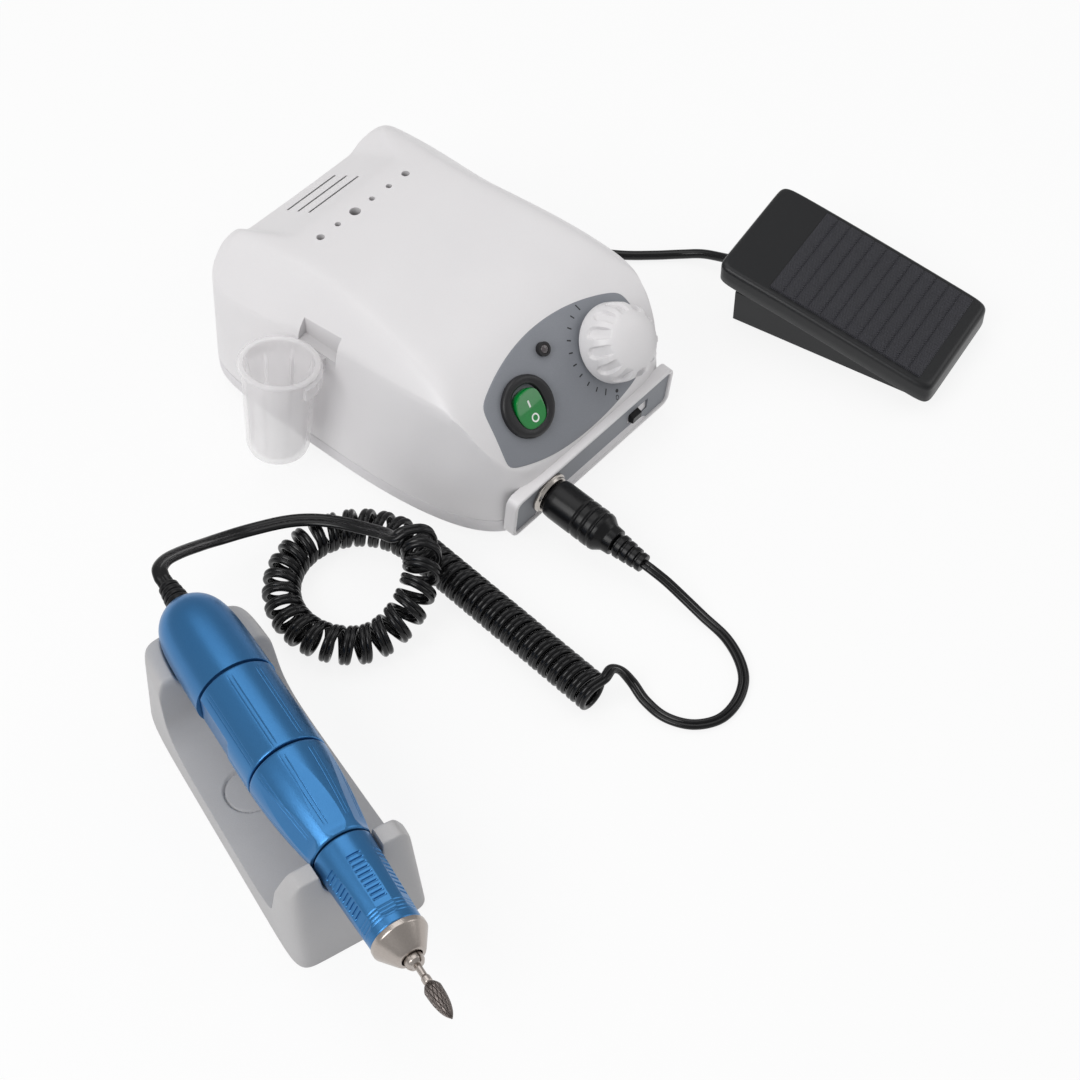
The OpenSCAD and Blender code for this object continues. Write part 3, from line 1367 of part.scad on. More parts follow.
module collet() {
    color(steel) placed() on_hand() difference() {
        union() {
            translate([0, 0, spindle_to - collet_l + 1]) cylinder(r = collet_r, h = collet_l);
            translate([0, 0, spindle_to + collet_draw + play])
                cylinder(r = collet_nose_r, h = collet_end - collet_tip - spindle_to - collet_draw - play);
            translate([0, 0, collet_end - collet_tip - eps])
                turned([[0, 0], [collet_nose_r, 0], [collet_nose_r - collet_draw, collet_tip],
                    [0, collet_tip]]);
        }
        translate([0, 0, collet_end - bore_depth]) cylinder(r = shank_r + fit / 2, h = through);
    }
}
module bur() {
    head_z = collet_end + shank_l;
    flame = [for (i = [0:10]) let (u = i / 10)
        [shank_r * (1 - u) * 0.6 + head_r * pow(sin(180 * pow(u, 0.72)), 0.8), head_z + head_l * u]];
    color(carbide_grey) placed() on_hand() turned(concat([[0, collet_end - bore_depth + 1],
        [shank_r, collet_end - bore_depth + 1],
        [shank_r, head_z]], [for (i = [1:9]) flame[i]], [[0.25, head_z + head_l], [0, head_z + head_l]]));
}

// Leads and what is on them
plug_r = 8;
plug_l = 27;
neck_r = 5.5;
neck_l = 5;
boot_l = 13;
boot_r = 4.8;
plug_rings = 3;
ring_from = 14;
ring_pitch = 4;
ring_deep = 0.5;
ring_w = 1.4;
plug_z = socket_out + seat;
module motor_plug() {
    rings = [for (i = [0:plug_rings - 1])
        let (z = ring_from + i * ring_pitch)
        each [[plug_r, z], [plug_r - ring_deep, z + ring_w * 0.3], [plug_r - ring_deep, z + ring_w * 0.7],
            [plug_r, z + ring_w]]];
    color(black) placed() on_strip() translate([-socket_x, 0, plug_z]) union() {
        turned(concat([[0, 0], [plug_r - ring_w, 0], [plug_r - seat, ring_w], [plug_r, ring_pitch]], rings,
            [[plug_r - seat * 2, plug_l - ring_w], [neck_r + ring_deep, plug_l], [neck_r, plug_l + ring_deep],
                [neck_r - ring_deep, plug_l + neck_l], [0, plug_l + neck_l]]));
        translate([0, 0, plug_z - socket_depth]) cylinder(r = contact_r, h = socket_depth - plug_z + 1);
    }
}
boot_ribs = 4;
boot_taper = 1.4;
module plug_boot() {
    step = boot_l / boot_ribs;
    ribs = [for (i = [0:boot_ribs - 1])
        let (r = boot_r - boot_taper * i / boot_ribs, z = i * step)
        each [[r - 1, z], [r - 1, z + step * 0.3], [r, z + step * 0.34], [r, z + step]]];
    color(black) placed() on_strip() translate([-socket_x, 0, plug_z + plug_l + neck_l])
        turned(concat([[0, 0]], ribs, [[twin_w / 2 + seat, boot_l], [0, boot_l]]));
}
strip_dir = [0, -cos(strip_tilt), -sin(strip_tilt)];
plug_exit = [-socket_x, strip_y, strip_z] + (plug_z + plug_l + neck_l + boot_l) * strip_dir;
module plug_lead() {
    end = curl_point(0);
    run = curl_run(0);
    p = smoothed(concat(straight_end(plug_exit, twin_w * strip_dir), plug_route,
        [end - twin_w * run, end]), 3);
    echo(plug_lead_length = path_length(p));
    color(black) placed() tube(p, flat_dirs(p), twin_w, twin_t, 8);
}
function turn_gap(rings, i) =
    min([for (j = [i + curl_steps - 2:min(len(rings) - 1, i + curl_steps + 2)], a = rings[i],
        b = rings[j]) norm(a - b)]);
function curl_section(u) =
    let (c = curl_point(u), run = curl_run(u), wide = curl_sides_dir(u), thin = cross(run, wide))
    [for (j = [0:11]) c + twin_w / 2 * cos(30 * j) * wide + twin_t / 2 * sin(30 * j) * thin];
module curly_cord() {
    p = curl_path();
    n = len(p) - 1;
    sections = [for (i = [0:n]) curl_section(i / curl_steps)];
    near = min([for (i = [0:n - curl_steps]) turn_gap(sections, i)]);
    lone = [for (s = [0:3:curl_line + curl_arc / 4]) curl_axis(s)];
    late = [for (s = [curl_total - curl_arc / 3:3:curl_total]) curl_axis(s)];
    cross_gap = min([for (a = lone, b = late) norm(a - b)]) - 2 * curl_r - twin_t;
    echo(curly_cord_least_gap = min(near, cross_gap), between_turns = near, at_crossing = cross_gap);
    echo(curly_cord_length = path_length(p));
    color(black) placed() tube(p, [for (i = [0:n]) curl_sides_dir(i / curl_steps)], twin_w, twin_t,
        curl_sides);
}
hand_exit = hand_point(-gland_l);
module handpiece_lead() {
    end = curl_point(curls);
    run = curl_run(curls);
    p = smoothed(concat(straight_end(hand_exit, -twin_w * hand_dir), hand_route,
        [end + twin_w * run, end]), 3);
    echo(handpiece_lead_length = path_length(p));
    color(black) placed() tube(p, flat_dirs(p), twin_w, twin_t, 8);
}
function pedal_out(d) = pedal_at + [-sin(pedal_turn), cos(pedal_turn), 0] * d + [0, 0, lead_z];
pedal_exit = base_back + gland_out;
module pedal_lead() {
    leave = pedal_out(pedal_exit);
    p = smoothed(concat(straight_end(leave, pedal_out(pedal_exit + pedal_cord_d) - leave), pedal_route,
        [hank_point(0) + [pedal_cord_d, 0, 0], hank_point(0)]), 2);
    echo(pedal_lead_length = path_length(p));
    color(black) placed() tube(p, flat_dirs(p), pedal_cord_d, pedal_cord_d, 8);
}
module pedal_hank() {
    p = hank_path();
    echo(pedal_hank_least_gap = hank_step - pedal_cord_d, pedal_hank_length = path_length(p));
    color(black) placed() tube(p, [for (q = p) [0, 1, 0]], pedal_cord_d, pedal_cord_d, 6);
}
module pedal_plug() {
    at = pedal_plug_at;
    color(black) placed() union() {
        translate(at + [0, 1.2, 0]) rotate([-90, 0, 0]) cylinder(r = pedal_plug_r,
            h = pedal_plug_out + 3);
        translate(boot_end) rotate([0, 90, 0]) cylinder(r1 = pedal_cord_d / 2 + 0.4,
            r2 = pedal_plug_r - 1.1, h = pedal_boot_l + pedal_plug_r);
        translate(at + [0, -9, 0]) rotate([-90, 0, 0]) cylinder(r = 1.75, h = 12);
    }
}
module cord_tie() {
    slack = 0.1;
    inner_d = hank_step * (hank_loops - 1) + pedal_cord_d + 2 * slack;
    inner_h = 2 * hank_fold + pedal_cord_d + 2 * slack;
    band = 8;
    corner = [hank_x - hank_run / 2 + 2, hank_y + pedal_cord_d / 2 + slack - inner_d,
        hank_z - pedal_cord_d / 2 - slack];
    color(black) placed() translate(corner) difference() {
        translate([0, -tie_t, -tie_t]) cube([band, inner_d + 2 * tie_t, inner_h + 2 * tie_t]);
        translate([-1, 0, 0]) cube([band + 2, inner_d, inner_h]);
    }
}

upper_housing();
base_tray();
control_panel();
jack_bezel();
jack_panel();
switch_bezel();
rocker();
pilot_lamp_bezel();
pilot_lamp();
speed_pot();
pot_shaft();
speed_knob();
direction_switch();
direction_slider();
motor_socket();
pedal_socket();
mains_inlet();
fuse_holder();
transformer_core();
transformer_coil();
circuit_board();
heat_sink();
capacitors();
unit_feet();
base_screws();
cup_bracket();
bur_cup();
pedal_base();
pedal_bottom();
pedal_feet();
pedal_switch();
pedal_spring();
pedal_pin();
pedal_gland();
treadle();
treadle_mat();
cradle();
rear_cap();
motor_sleeve();
chuck_ring();
nose_grip();
nose_cone();
handpiece_gland();
motor_can();
rotor();
commutator();
brushes();
bearings();
spindle();
collet();
bur();
motor_plug();
plug_boot();
plug_lead();
curly_cord();
handpiece_lead();
pedal_lead();
pedal_hank();
pedal_plug();
cord_tie();
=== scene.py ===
"""Looks of a bench-top micromotor set: control unit, foot pedal, handpiece in its cradle, leads.

Shapes are worked out in millimetres with the origin under the unit's middle, as the solids are,
and are set into the shared frame (metres) by piece().
"""

import bmesh
import bpy
import numpy as np
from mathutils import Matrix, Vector


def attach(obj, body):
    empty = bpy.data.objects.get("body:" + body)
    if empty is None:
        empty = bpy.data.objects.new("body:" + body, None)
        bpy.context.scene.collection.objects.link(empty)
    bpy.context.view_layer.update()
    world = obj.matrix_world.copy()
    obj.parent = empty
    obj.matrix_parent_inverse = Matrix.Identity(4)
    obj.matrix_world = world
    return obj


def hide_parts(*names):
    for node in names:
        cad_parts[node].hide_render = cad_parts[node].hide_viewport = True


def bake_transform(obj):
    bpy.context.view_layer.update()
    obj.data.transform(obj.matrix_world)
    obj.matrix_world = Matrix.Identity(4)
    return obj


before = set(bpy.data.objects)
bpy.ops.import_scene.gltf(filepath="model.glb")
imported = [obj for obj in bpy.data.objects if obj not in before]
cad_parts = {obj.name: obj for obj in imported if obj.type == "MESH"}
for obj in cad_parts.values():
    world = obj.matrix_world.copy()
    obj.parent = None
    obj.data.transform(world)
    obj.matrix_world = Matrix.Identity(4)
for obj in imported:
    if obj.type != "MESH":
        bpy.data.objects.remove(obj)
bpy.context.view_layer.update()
TAU = 2 * np.pi
MM = 0.001

# Where the unit stands in the shared frame, and the sizes it shares with the solids (mm)
SET_AT = np.array([29.53, 63.49, 0.0])
HALF_W, HALF_D, SEAM_Z = 62.5, 78.0, 11.0
FACE_R, FACE_TILT = 90.0, np.radians(39)
FACE_MID = np.array([0, -66.0, 48.0])
FACE_C = FACE_MID[1:] + FACE_R * np.array([np.cos(FACE_TILT), -np.sin(FACE_TILT)])
SWITCH_X, SWITCH_Y, KNOB_X = -23.0, 2.0, 23.0
JACK_X, SLIDER_X = -27.0, 27.0
PLUG_Z, BOOT_Z, PLUG_LEAD_Z = 2.75, 34.75, 47.75
HAND_Z = 40.0


# Frames: an origin and three axes in rows, local points to the unit's millimetres

def unit(v):
    """Each vector over its own length."""
    v = np.asarray(v, float)
    return v / np.linalg.norm(v, axis=-1, keepdims=True)


def frame_at(origin, x_axis, y_axis):
    """Origin and axes, with z square to x and y."""
    axes = np.array([x_axis, y_axis, np.cross(x_axis, y_axis)], float)
    return np.asarray(origin, float), axes


def in_frame(place, x, y, z):
    """Origin plus x, y and z steps along the frame's axes, over whole arrays."""
    x, y, z = np.broadcast_arrays(x, y, z)
    return place[0] + np.stack([x, y, z], axis=-1) @ place[1]


def moved(place, x, y, z=0.0):
    """The same axes from another origin."""
    return in_frame(place, x, y, z), place[1]


STRIP_TILT, CUP_LEAN, PEDAL_TURN, HAND_TURN = np.radians((6, 8, 9, 17))
ON_UNIT = frame_at([0, 0, 0], [1, 0, 0], [0, 1, 0])
ON_PANEL = frame_at(FACE_MID, [1, 0, 0], [0, np.sin(FACE_TILT), np.cos(FACE_TILT)])
ON_STRIP = frame_at([0, -78.5, 15], [1, 0, 0], [0, -np.sin(STRIP_TILT), np.cos(STRIP_TILT)])
ON_CUP = frame_at([-77.5, 15.5, 13.2], [np.cos(CUP_LEAN), 0, -np.sin(CUP_LEAN)], [0, 1, 0])
ON_PEDAL = frame_at([132, -106, 0], [np.cos(PEDAL_TURN), np.sin(PEDAL_TURN), 0],
                    [-np.sin(PEDAL_TURN), np.cos(PEDAL_TURN), 0])
HAND_XY, HAND_X = (-166.8, -30.1), [np.cos(HAND_TURN), -np.sin(HAND_TURN), 0]
ON_HAND = frame_at([*HAND_XY, HAND_Z], HAND_X, [0, 0, 1])
ON_CRADLE = frame_at([*HAND_XY, 0], HAND_X, -np.cross(HAND_X, [0, 0, 1]))


# Sheets of points, and pieces made of them

def ease(u):
    """Smooth step from 0 to 1."""
    c = np.clip(u, 0, 1)
    return c * c * (3 - 2 * c)


def soft_min(k, *heights):
    """Minus the log of the sum of exp(-k height), over k: the least height with rounded joins."""
    z = np.stack(np.broadcast_arrays(*heights))
    least = z.min(axis=0)
    return least - np.log(np.exp(-k * (z - least)).sum(axis=0)) / k


def soft_max(k, *heights):
    """The greatest height with rounded joins."""
    return -soft_min(k, *[-np.asarray(h) for h in heights])


def edge_of(inside, low, high, steps):
    """Halving search over whole arrays for where inside(value) ends between low and high."""
    for _ in range(steps):
        mid = (low + high) / 2
        within = inside(mid)
        low, high = np.where(within, mid, low), np.where(within, high, mid)
    return low


def pressed(u, v, p):
    """Square grid pressed into |a|^p + |b|^p = 1: a = u (1 - |v|^p / 2)^(1/p), and b likewise.

    Gives a, b and their ring (|a|^p + |b|^p)^(1/p), which is 1 on the edge.
    """
    a = u * (1 - np.abs(v) ** p / 2) ** (1 / p)
    b = v * (1 - np.abs(u) ** p / 2) ** (1 / p)
    return a, b, (np.abs(a) ** p + np.abs(b) ** p) ** (1 / p)


def sine_grid(columns, rows):
    """Square grid from -1 to 1 whose lines close up towards its edges as a sine does."""
    return np.meshgrid(*[np.sin(np.linspace(-1, 1, n) * np.pi / 2) for n in (columns, rows)])


def off_spoke(angle, count):
    """Angle to the nearest of evenly spaced spokes, the first of them half a step round."""
    return (np.mod(angle * count / TAU, 1) - 0.5) * TAU / count


def lathe(place, profile, columns=96, radius=None):
    """Profile of (r, z) points carried once round the frame's z axis.

    radius(r, z, angle) may shape it.
    """
    r, z = np.asarray(profile, float).T[:, :, None]
    a = np.linspace(0, TAU, columns, endpoint=False)[None, :]
    r = r + 0 * a if radius is None else radius(r, z, a)
    return in_frame(place, r * np.cos(a), r * np.sin(a), z + 0 * a), True, True


def rounded(profile, radius, steps=5):
    """A profile whose inner corners become quadratic curves from a point before to one after.

    A curve takes up less than half of the stretch on either side.
    """
    p, most = np.asarray(profile, float), 0.48
    before, at, after = p[:-2], p[1:-1], p[2:]
    reach = np.minimum(radius, most * np.linalg.norm(before - at, axis=1))[:, None]
    leave = np.minimum(radius, most * np.linalg.norm(after - at, axis=1))[:, None]
    first, last = at + unit(before - at) * reach, at + unit(after - at) * leave
    u = np.linspace(0, 1, steps)[None, :, None]
    arcs = first[:, None] * (1 - u) ** 2 + 2 * at[:, None] * u * (1 - u) + last[:, None] * u ** 2
    return np.concatenate([p[:1], arcs.reshape(-1, 2), p[-1:]])


def dense(profile, step):
    """The profile with more points along each of its straight stretches."""
    p = np.asarray(profile, float)
    at = np.concatenate([[0], np.cumsum(np.linalg.norm(np.diff(p, axis=0), axis=1))])
    s = np.unique(np.concatenate([at, np.arange(0, at[-1], step)]))
    return np.stack([np.interp(s, at, p[:, 0]), np.interp(s, at, p[:, 1])], axis=-1)


def repeated(points, steps, count):
    """Profile points again and again, each moved by its own step every time."""
    turns = np.arange(count)[:, None, None]
    return (np.array(points, float) + turns * np.array(steps, float)).reshape(-1, 2).tolist()


def plate(place, outline, layers, lift=None):
    """An outline carried through layers of (inset, z, share): drawn in, then shrunk to its share.

    The share is 1 where a layer doesn't name it. lift(x, y) adds a height to each point.
    """
    ahead = unit(np.roll(outline, -1, axis=0) - np.roll(outline, 1, axis=0))
    inward = np.stack([-ahead[:, 1], ahead[:, 0]], axis=-1)
    inset, z, share = np.array([(*layer, 1.0)[:3] for layer in layers], float).T[:, :, None]
    xy = share[..., None] * (outline[None] + inset[..., None] * inward[None])
    up = 0 if lift is None else lift(xy[..., 0], xy[..., 1])
    return in_frame(place, xy[..., 0], xy[..., 1], z + up), True, True


def rings_of(place, rings):
    """Rows of points: each ring is an outline at its height."""
    return np.stack([in_frame(place, *outline.T, z) for outline, z in rings])


def rounded_box(w, h, r, per_corner=10):
    """Outline of a rectangle with round corners, counter-clockwise."""
    quarter = np.linspace(0, np.pi / 2, per_corner)
    a = (np.arange(4)[:, None] * np.pi / 2 + quarter[None]).ravel()
    sx, sy = np.repeat([1, -1, -1, 1], per_corner), np.repeat([1, 1, -1, -1], per_corner)
    x, y = sx * (w / 2 - r) + r * np.cos(a), sy * (h / 2 - r) + r * np.sin(a)
    return np.stack([x, y], axis=-1)


def rim_of(grid):
    """Points round the edge of a grid: first row, last column, last row and first column."""
    return np.concatenate([grid[0, :-1], grid[:-1, -1], grid[-1, :0:-1], grid[:0:-1, 0]])


def oval(rx, ry, power=2.0, n=96):
    """Outline |x/rx|^power + |y/ry|^power = 1, counter-clockwise."""
    a = np.linspace(0, TAU, n, endpoint=False)
    k = (np.abs(np.cos(a)) ** power + np.abs(np.sin(a)) ** power) ** (-1 / power)
    return np.stack([rx * k * np.cos(a), ry * k * np.sin(a)], axis=-1)


def tube(path, wide, section, spread=1.0):
    """A closed section (m, 2) carried along a path.

    Across is wide made square to the run, and thin is run x across. spread widens the section
    at each point of the path.
    """
    run = unit(np.gradient(path, axis=0))
    across = unit(wide - (wide * run).sum(axis=1, keepdims=True) * run)
    thin, across = np.cross(run, across), across * spread
    sideways = section[None, :, :1] * across[:, None]
    return path[:, None] + sideways + section[None, :, 1:] * thin[:, None], True, True


def metres(points):
    """Points of the unit's millimetres in the shared frame."""
    return ((np.asarray(points) + SET_AT) * MM).tolist()


def piece(name, sheets, body, paint, stands_for=(), sharp=40, painted_shade=None):
    """One mesh from sheets of points (rows, columns, xyz), each with its wrap and end caps.

    Neighbouring points make quads that face outwards; doubled points at poles are merged.
    A painted-shade mask runs per point of a single sheet from 0 at the skin to 1 inside an opening.
    """
    doubled = 2e-7
    points, faces, start = [], [], 0
    for sheet, wrap, caps in sheets:
        rows, columns = sheet.shape[:2]
        index = start + np.arange(rows * columns).reshape(rows, columns)
        start += rows * columns
        if caps:
            faces += [index[0, ::-1].tolist(), index[-1].tolist()]
        if wrap:
            index = np.concatenate([index, index[:, :1]], axis=1)
        corners = [index[:-1, :-1], index[:-1, 1:], index[1:, 1:], index[1:, :-1]]
        faces += np.stack(corners, axis=-1).reshape(-1, 4).tolist()
        points.append(sheet.reshape(-1, 3))
    mesh = bpy.data.meshes.new(name)
    mesh.from_pydata(metres(np.concatenate(points)), [], faces)
    if painted_shade is None:
        work = bmesh.new()
        work.from_mesh(mesh)
        bmesh.ops.remove_doubles(work, verts=work.verts, dist=doubled)
        work.to_mesh(mesh)
        work.free()
    else:
        mark = mesh.attributes.new("painted_shade", "FLOAT", "POINT")
        mark.data.foreach_set("value", painted_shade.ravel())
    mesh.validate()
    mesh.shade_smooth()
    mesh.set_sharp_from_angle(angle=np.radians(sharp))
    mesh.materials.append(paint)
    made = bpy.data.objects.new(name, mesh)
    bpy.context.scene.collection.objects.link(made)
    if body:
        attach(made, body)
    if stands_for:
        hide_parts(*stands_for)
    return made


# Finishes

def tone(r, g, b):
    """Linear colour of a screen colour given from 0 to 255."""
    s = np.array([r, g, b]) / 255
    return (*np.where(s <= 0.04045, s / 12.92, ((s + 0.055) / 1.055) ** 2.4), 1.0)


def node_group(name, inputs, outputs):
    """An empty shader group with named sockets, and its two ends."""
    group = bpy.data.node_groups.new(name, "ShaderNodeTree")
    for label, kind, value in inputs:
        socket = group.interface.new_socket(label, in_out="INPUT", socket_type=kind)
        socket.default_value = value
    for label, kind in outputs:
        group.interface.new_socket(label, in_out="OUTPUT", socket_type=kind)
    return group, group.nodes.new("NodeGroupInput"), group.nodes.new("NodeGroupOutput")


def noise(tree, scale, detail, vector):
    """A noise texture on the given coordinates."""
    texture = tree.nodes.new("ShaderNodeTexNoise")
    texture.inputs["Scale"].default_value = scale
    texture.inputs["Detail"].default_value = detail
    tree.links.new(vector, texture.inputs["Vector"])
    return texture.outputs["Fac"]


def feed(tree, sockets, values):
    """Link each value that is a socket, and set each that is plain."""
    for socket, value in zip(sockets, values):
        if hasattr(value, "is_output"):
            tree.links.new(value, socket)
        else:
            socket.default_value = value


def maths(tree, operation, *values):
    """One sum on sockets or plain numbers."""
    made = tree.nodes.new("ShaderNodeMath")
    made.operation = operation
    feed(tree, made.inputs, values)
    return made.outputs[0]


def mixed(tree, factor, first, second):
    """A colour between two."""
    made = tree.nodes.new("ShaderNodeMix")
    made.data_type = "RGBA"
    feed(tree, (made.inputs[0], made.inputs[6], made.inputs[7]), (factor, first, second))
    return made.outputs[2]


def grain_group():
    """Moulded grain: a broad mottle shifts colour and roughness, a fine noise gives the height."""
    colour, value, vector = "NodeSocketColor", "NodeSocketFloat", "NodeSocketVector"
    group, given, result = node_group("moulded_grain", [
        ("Colour", colour, (1, 1, 1, 1)), ("Shade", colour, (0.5, 0.5, 0.5, 1)),
        ("Mottle", value, 0.3), ("Roughness", value, 0.4), ("Spread", value, 0.1),
        ("Vector", vector, (0, 0, 0))],
        [("Colour", colour), ("Roughness", value), ("Height", value)])
    given, result = given.outputs, result.inputs
    broad = noise(group, 38, 3, given["Vector"])
    fine = noise(group, 2600, 2, given["Vector"])
    share = maths(group, "MULTIPLY", maths(group, "ADD", broad, fine), given["Mottle"])
    swing = maths(group, "MULTIPLY", maths(group, "SUBTRACT", broad, 0.5), given["Spread"])
    group.links.new(mixed(group, share, given["Colour"], given["Shade"]), result["Colour"])
    group.links.new(maths(group, "ADD", given["Roughness"], swing), result["Roughness"])
    group.links.new(fine, result["Height"])
    return group


GRAIN = grain_group()
RELIEF = 0.0004


def finish(name, colour, shade, mottle=0.25, rough=0.4, spread=0.12, bump=0.05,
           stretch=(1, 1, 1), turn=0, **plain):
    """A Principled material whose colour, roughness and bump come from the moulded grain.

    colour and shade are screen colours. stretch and turn map the grain, so that it can run in
    turned lines or along a fibre; plain gives constants for the shader's own sockets.
    """
    made = bpy.data.materials.new(name)
    made.use_nodes = True
    tree = made.node_tree
    shader = tree.nodes["Principled BSDF"]
    where = tree.nodes.new("ShaderNodeTexCoord")
    mapping = tree.nodes.new("ShaderNodeMapping")
    mapping.inputs["Scale"].default_value = stretch
    mapping.inputs["Rotation"].default_value = (0, 0, np.radians(turn))
    tree.links.new(where.outputs["Object"], mapping.inputs["Vector"])
    grain = tree.nodes.new("ShaderNodeGroup")
    grain.node_tree = GRAIN
    grain.name = "grain"
    for label, value in (("Colour", tone(*colour)), ("Shade", tone(*shade)), ("Mottle", mottle),
                         ("Roughness", rough), ("Spread", spread)):
        grain.inputs[label].default_value = value
    tree.links.new(mapping.outputs["Vector"], grain.inputs["Vector"])
    relief = tree.nodes.new("ShaderNodeBump")
    relief.name = "relief"
    relief.inputs["Strength"].default_value = bump
    relief.inputs["Distance"].default_value = RELIEF
    tree.links.new(grain.outputs["Height"], relief.inputs["Height"])
    tree.links.new(grain.outputs["Colour"], shader.inputs["Base Color"])
    tree.links.new(grain.outputs["Roughness"], shader.inputs["Roughness"])
    tree.links.new(relief.outputs["Normal"], shader.inputs["Normal"])
    for label, value in plain.items():
        shader.inputs[label.replace("_", " ")].default_value = value
    made.diffuse_color = tone(*colour)
    return made


def shell_finish():
    """White moulded shell, with shade painted dark grey where the skin's mask marks an opening."""
    made = finish("shell_white", (232, 230, 231), (214, 212, 214), mottle=0.3, rough=0.36,
                  spread=0.1, bump=0.06)
    tree = made.node_tree
    mark = tree.nodes.new("ShaderNodeAttribute")
    mark.attribute_name = "painted_shade"
    skin_colour = tree.nodes["grain"].outputs["Colour"]
    # Painted shade: the grain colour goes towards dark grey as the mask rises.
    dark = mixed(tree, mark.outputs["Fac"], skin_colour, tone(60, 58, 60))
    tree.links.new(dark, tree.nodes["Principled BSDF"].inputs["Base Color"])
    return made


def mat_finish():
    """Ribbed textile-like rubber: threads as a product of two sine waves raise the bump."""
    warps, wefts, shine, base = 5200.0, 8200.0, 0.35, 0.45
    made = finish("mat_rubber", (50, 50, 56), (32, 32, 36), mottle=0.6, rough=0.62, spread=0.1,
                  bump=0.9)
    tree = made.node_tree
    where = tree.nodes.new("ShaderNodeUVMap")
    where.uv_map = "lay"
    axes = tree.nodes.new("ShaderNodeSeparateXYZ")
    tree.links.new(where.outputs["UV"], axes.inputs[0])
    warp = maths(tree, "SINE", maths(tree, "MULTIPLY", axes.outputs["X"], warps))
    weft = maths(tree, "SINE", maths(tree, "MULTIPLY", axes.outputs["Y"], wefts))
    threads = maths(tree, "MULTIPLY", warp, weft)
    tree.links.new(threads, tree.nodes["relief"].inputs["Height"])
    # Painted highlight: where the threads stand up, the colour is painted lighter, towards (72, 72,
    # 80).
    lit = maths(tree, "MULTIPLY_ADD", threads, shine, base)
    colour = mixed(tree, lit, tree.nodes["grain"].outputs["Colour"], tone(72, 72, 80))
    tree.links.new(colour, tree.nodes["Principled BSDF"].inputs["Base Color"])
    return made


SHELL = shell_finish()
TRAY = finish("tray_white", (226, 224, 226), (206, 204, 207), mottle=0.3, spread=0.1, bump=0.06)
PANEL = finish("panel_grey", (141, 144, 150), (123, 126, 133), mottle=0.6, rough=0.5, spread=0.1,
               bump=0.1)
PRINT = finish("print_black", (34, 34, 38), (52, 52, 56), mottle=0.4, rough=0.55)
BLACK = finish("black_plastic", (38, 37, 39), (26, 26, 28), mottle=0.4, spread=0.15, bump=0.08,
               Specular_IOR_Level=0.4)
GLOSS_BLACK = finish("plug_black", (11, 11, 13), (6, 6, 8), mottle=0.4, rough=0.3,
                     Specular_IOR_Level=0.3)
GREEN = finish("rocker_green", (12, 142, 60), (6, 104, 42), mottle=0.35, rough=0.1, spread=0.05,
               bump=0.02, Coat_Weight=1.0)
WHITE_INK = finish("white_ink", (240, 244, 240), (224, 230, 224), mottle=0.3)
LAMP = finish("lamp_lens", (92, 86, 88), (58, 52, 54), mottle=0.4, rough=0.15, spread=0.05,
              bump=0.02, Coat_Weight=0.5)
CHROME = finish("socket_nickel", (196, 190, 184), (160, 154, 148), mottle=0.4, rough=0.24,
                spread=0.1, bump=0.03, Metallic=1.0)
STEEL = finish("turned_steel", (196, 188, 182), (160, 152, 146), mottle=0.5, rough=0.28, bump=0.1,
               stretch=(1, 0.05, 1), turn=17, Metallic=1.0)
BUR_STEEL = finish("carbide", (142, 134, 130), (88, 82, 80), mottle=0.6, rough=0.36, bump=0.1,
                   Metallic=1.0)
CLEAR = finish("clear_plastic", (250, 248, 249), (240, 238, 239), mottle=0.3, rough=0.16,
               spread=0.08, bump=0.03, Alpha=0.32)
RUBBER = finish("rubber_foot", (40, 40, 41), (26, 26, 27), mottle=0.4, rough=0.7, spread=0.1,
                bump=0.15)
CRADLE = finish("cradle_grey", (188, 187, 188), (166, 165, 166), mottle=0.45, rough=0.48,
                spread=0.1, bump=0.12)
BLUE = finish("anodised_blue", (70, 130, 182), (50, 108, 162), mottle=0.5, rough=0.32, bump=0.06,
              Metallic=0.8)
PEDAL = finish("pedal_black", (30, 31, 33), (20, 20, 22), mottle=0.4, rough=0.36, spread=0.14,
               bump=0.1, Specular_IOR_Level=0.36)
CORD = finish("cord_black", (11, 11, 13), (6, 6, 8), mottle=0.4, rough=0.22, spread=0.1,
              bump=0.03, Specular_IOR_Level=0.35)
CORE = finish("laminations", (96, 92, 90), (66, 62, 60), mottle=0.6, rough=0.5, spread=0.1,
              bump=0.2, stretch=(0.1, 12, 0.1), Metallic=0.7)
COPPER = finish("enamelled_copper", (190, 112, 62), (140, 76, 40), mottle=0.6, rough=0.3,
                spread=0.1, bump=0.3, stretch=(1, 1, 8), Metallic=0.9)
BOARD = finish("board_green", (38, 94, 56), (24, 66, 38), mottle=0.5, spread=0.1, bump=0.1)
ALLOY = finish("alloy", (188, 190, 194), (150, 152, 156), mottle=0.5, rough=0.38, spread=0.1,
               bump=0.08, stretch=(1, 1, 6), Metallic=1.0)
SLEEVED = finish("capacitor_blue", (40, 52, 92), (28, 36, 66), mottle=0.4, rough=0.3,
                 spread=0.08, bump=0.03)
CARBON = finish("carbon", (48, 47, 47), (30, 29, 29), mottle=0.6, rough=0.6, spread=0.1, bump=0.2)
MAT = mat_finish()


# Camera, lamps, world and floor (metres)

AIM, CAMERA_BACK, CAMERA_AWAY = (-0.00817, -0.02051, 0.0), (-0.4725, -0.409, 0.780), 0.8393
LENS, SENSOR = 73.3, 36.0
LAMPS = (("key", (-1.05, 0.1, 1.0), 0.8, 8.7), ("top", (0.2, 0.4, 1.5), 1.2, 5.8),
         ("side", (0.9, -0.6, 0.7), 0.7, 2.0))
WORLD_LIGHT = 0.45
FLOOR_HALF, FLOOR_Z, FLOOR_GREY, FLOOR_GLOW = 4, -0.0002, 0.86, 0.86


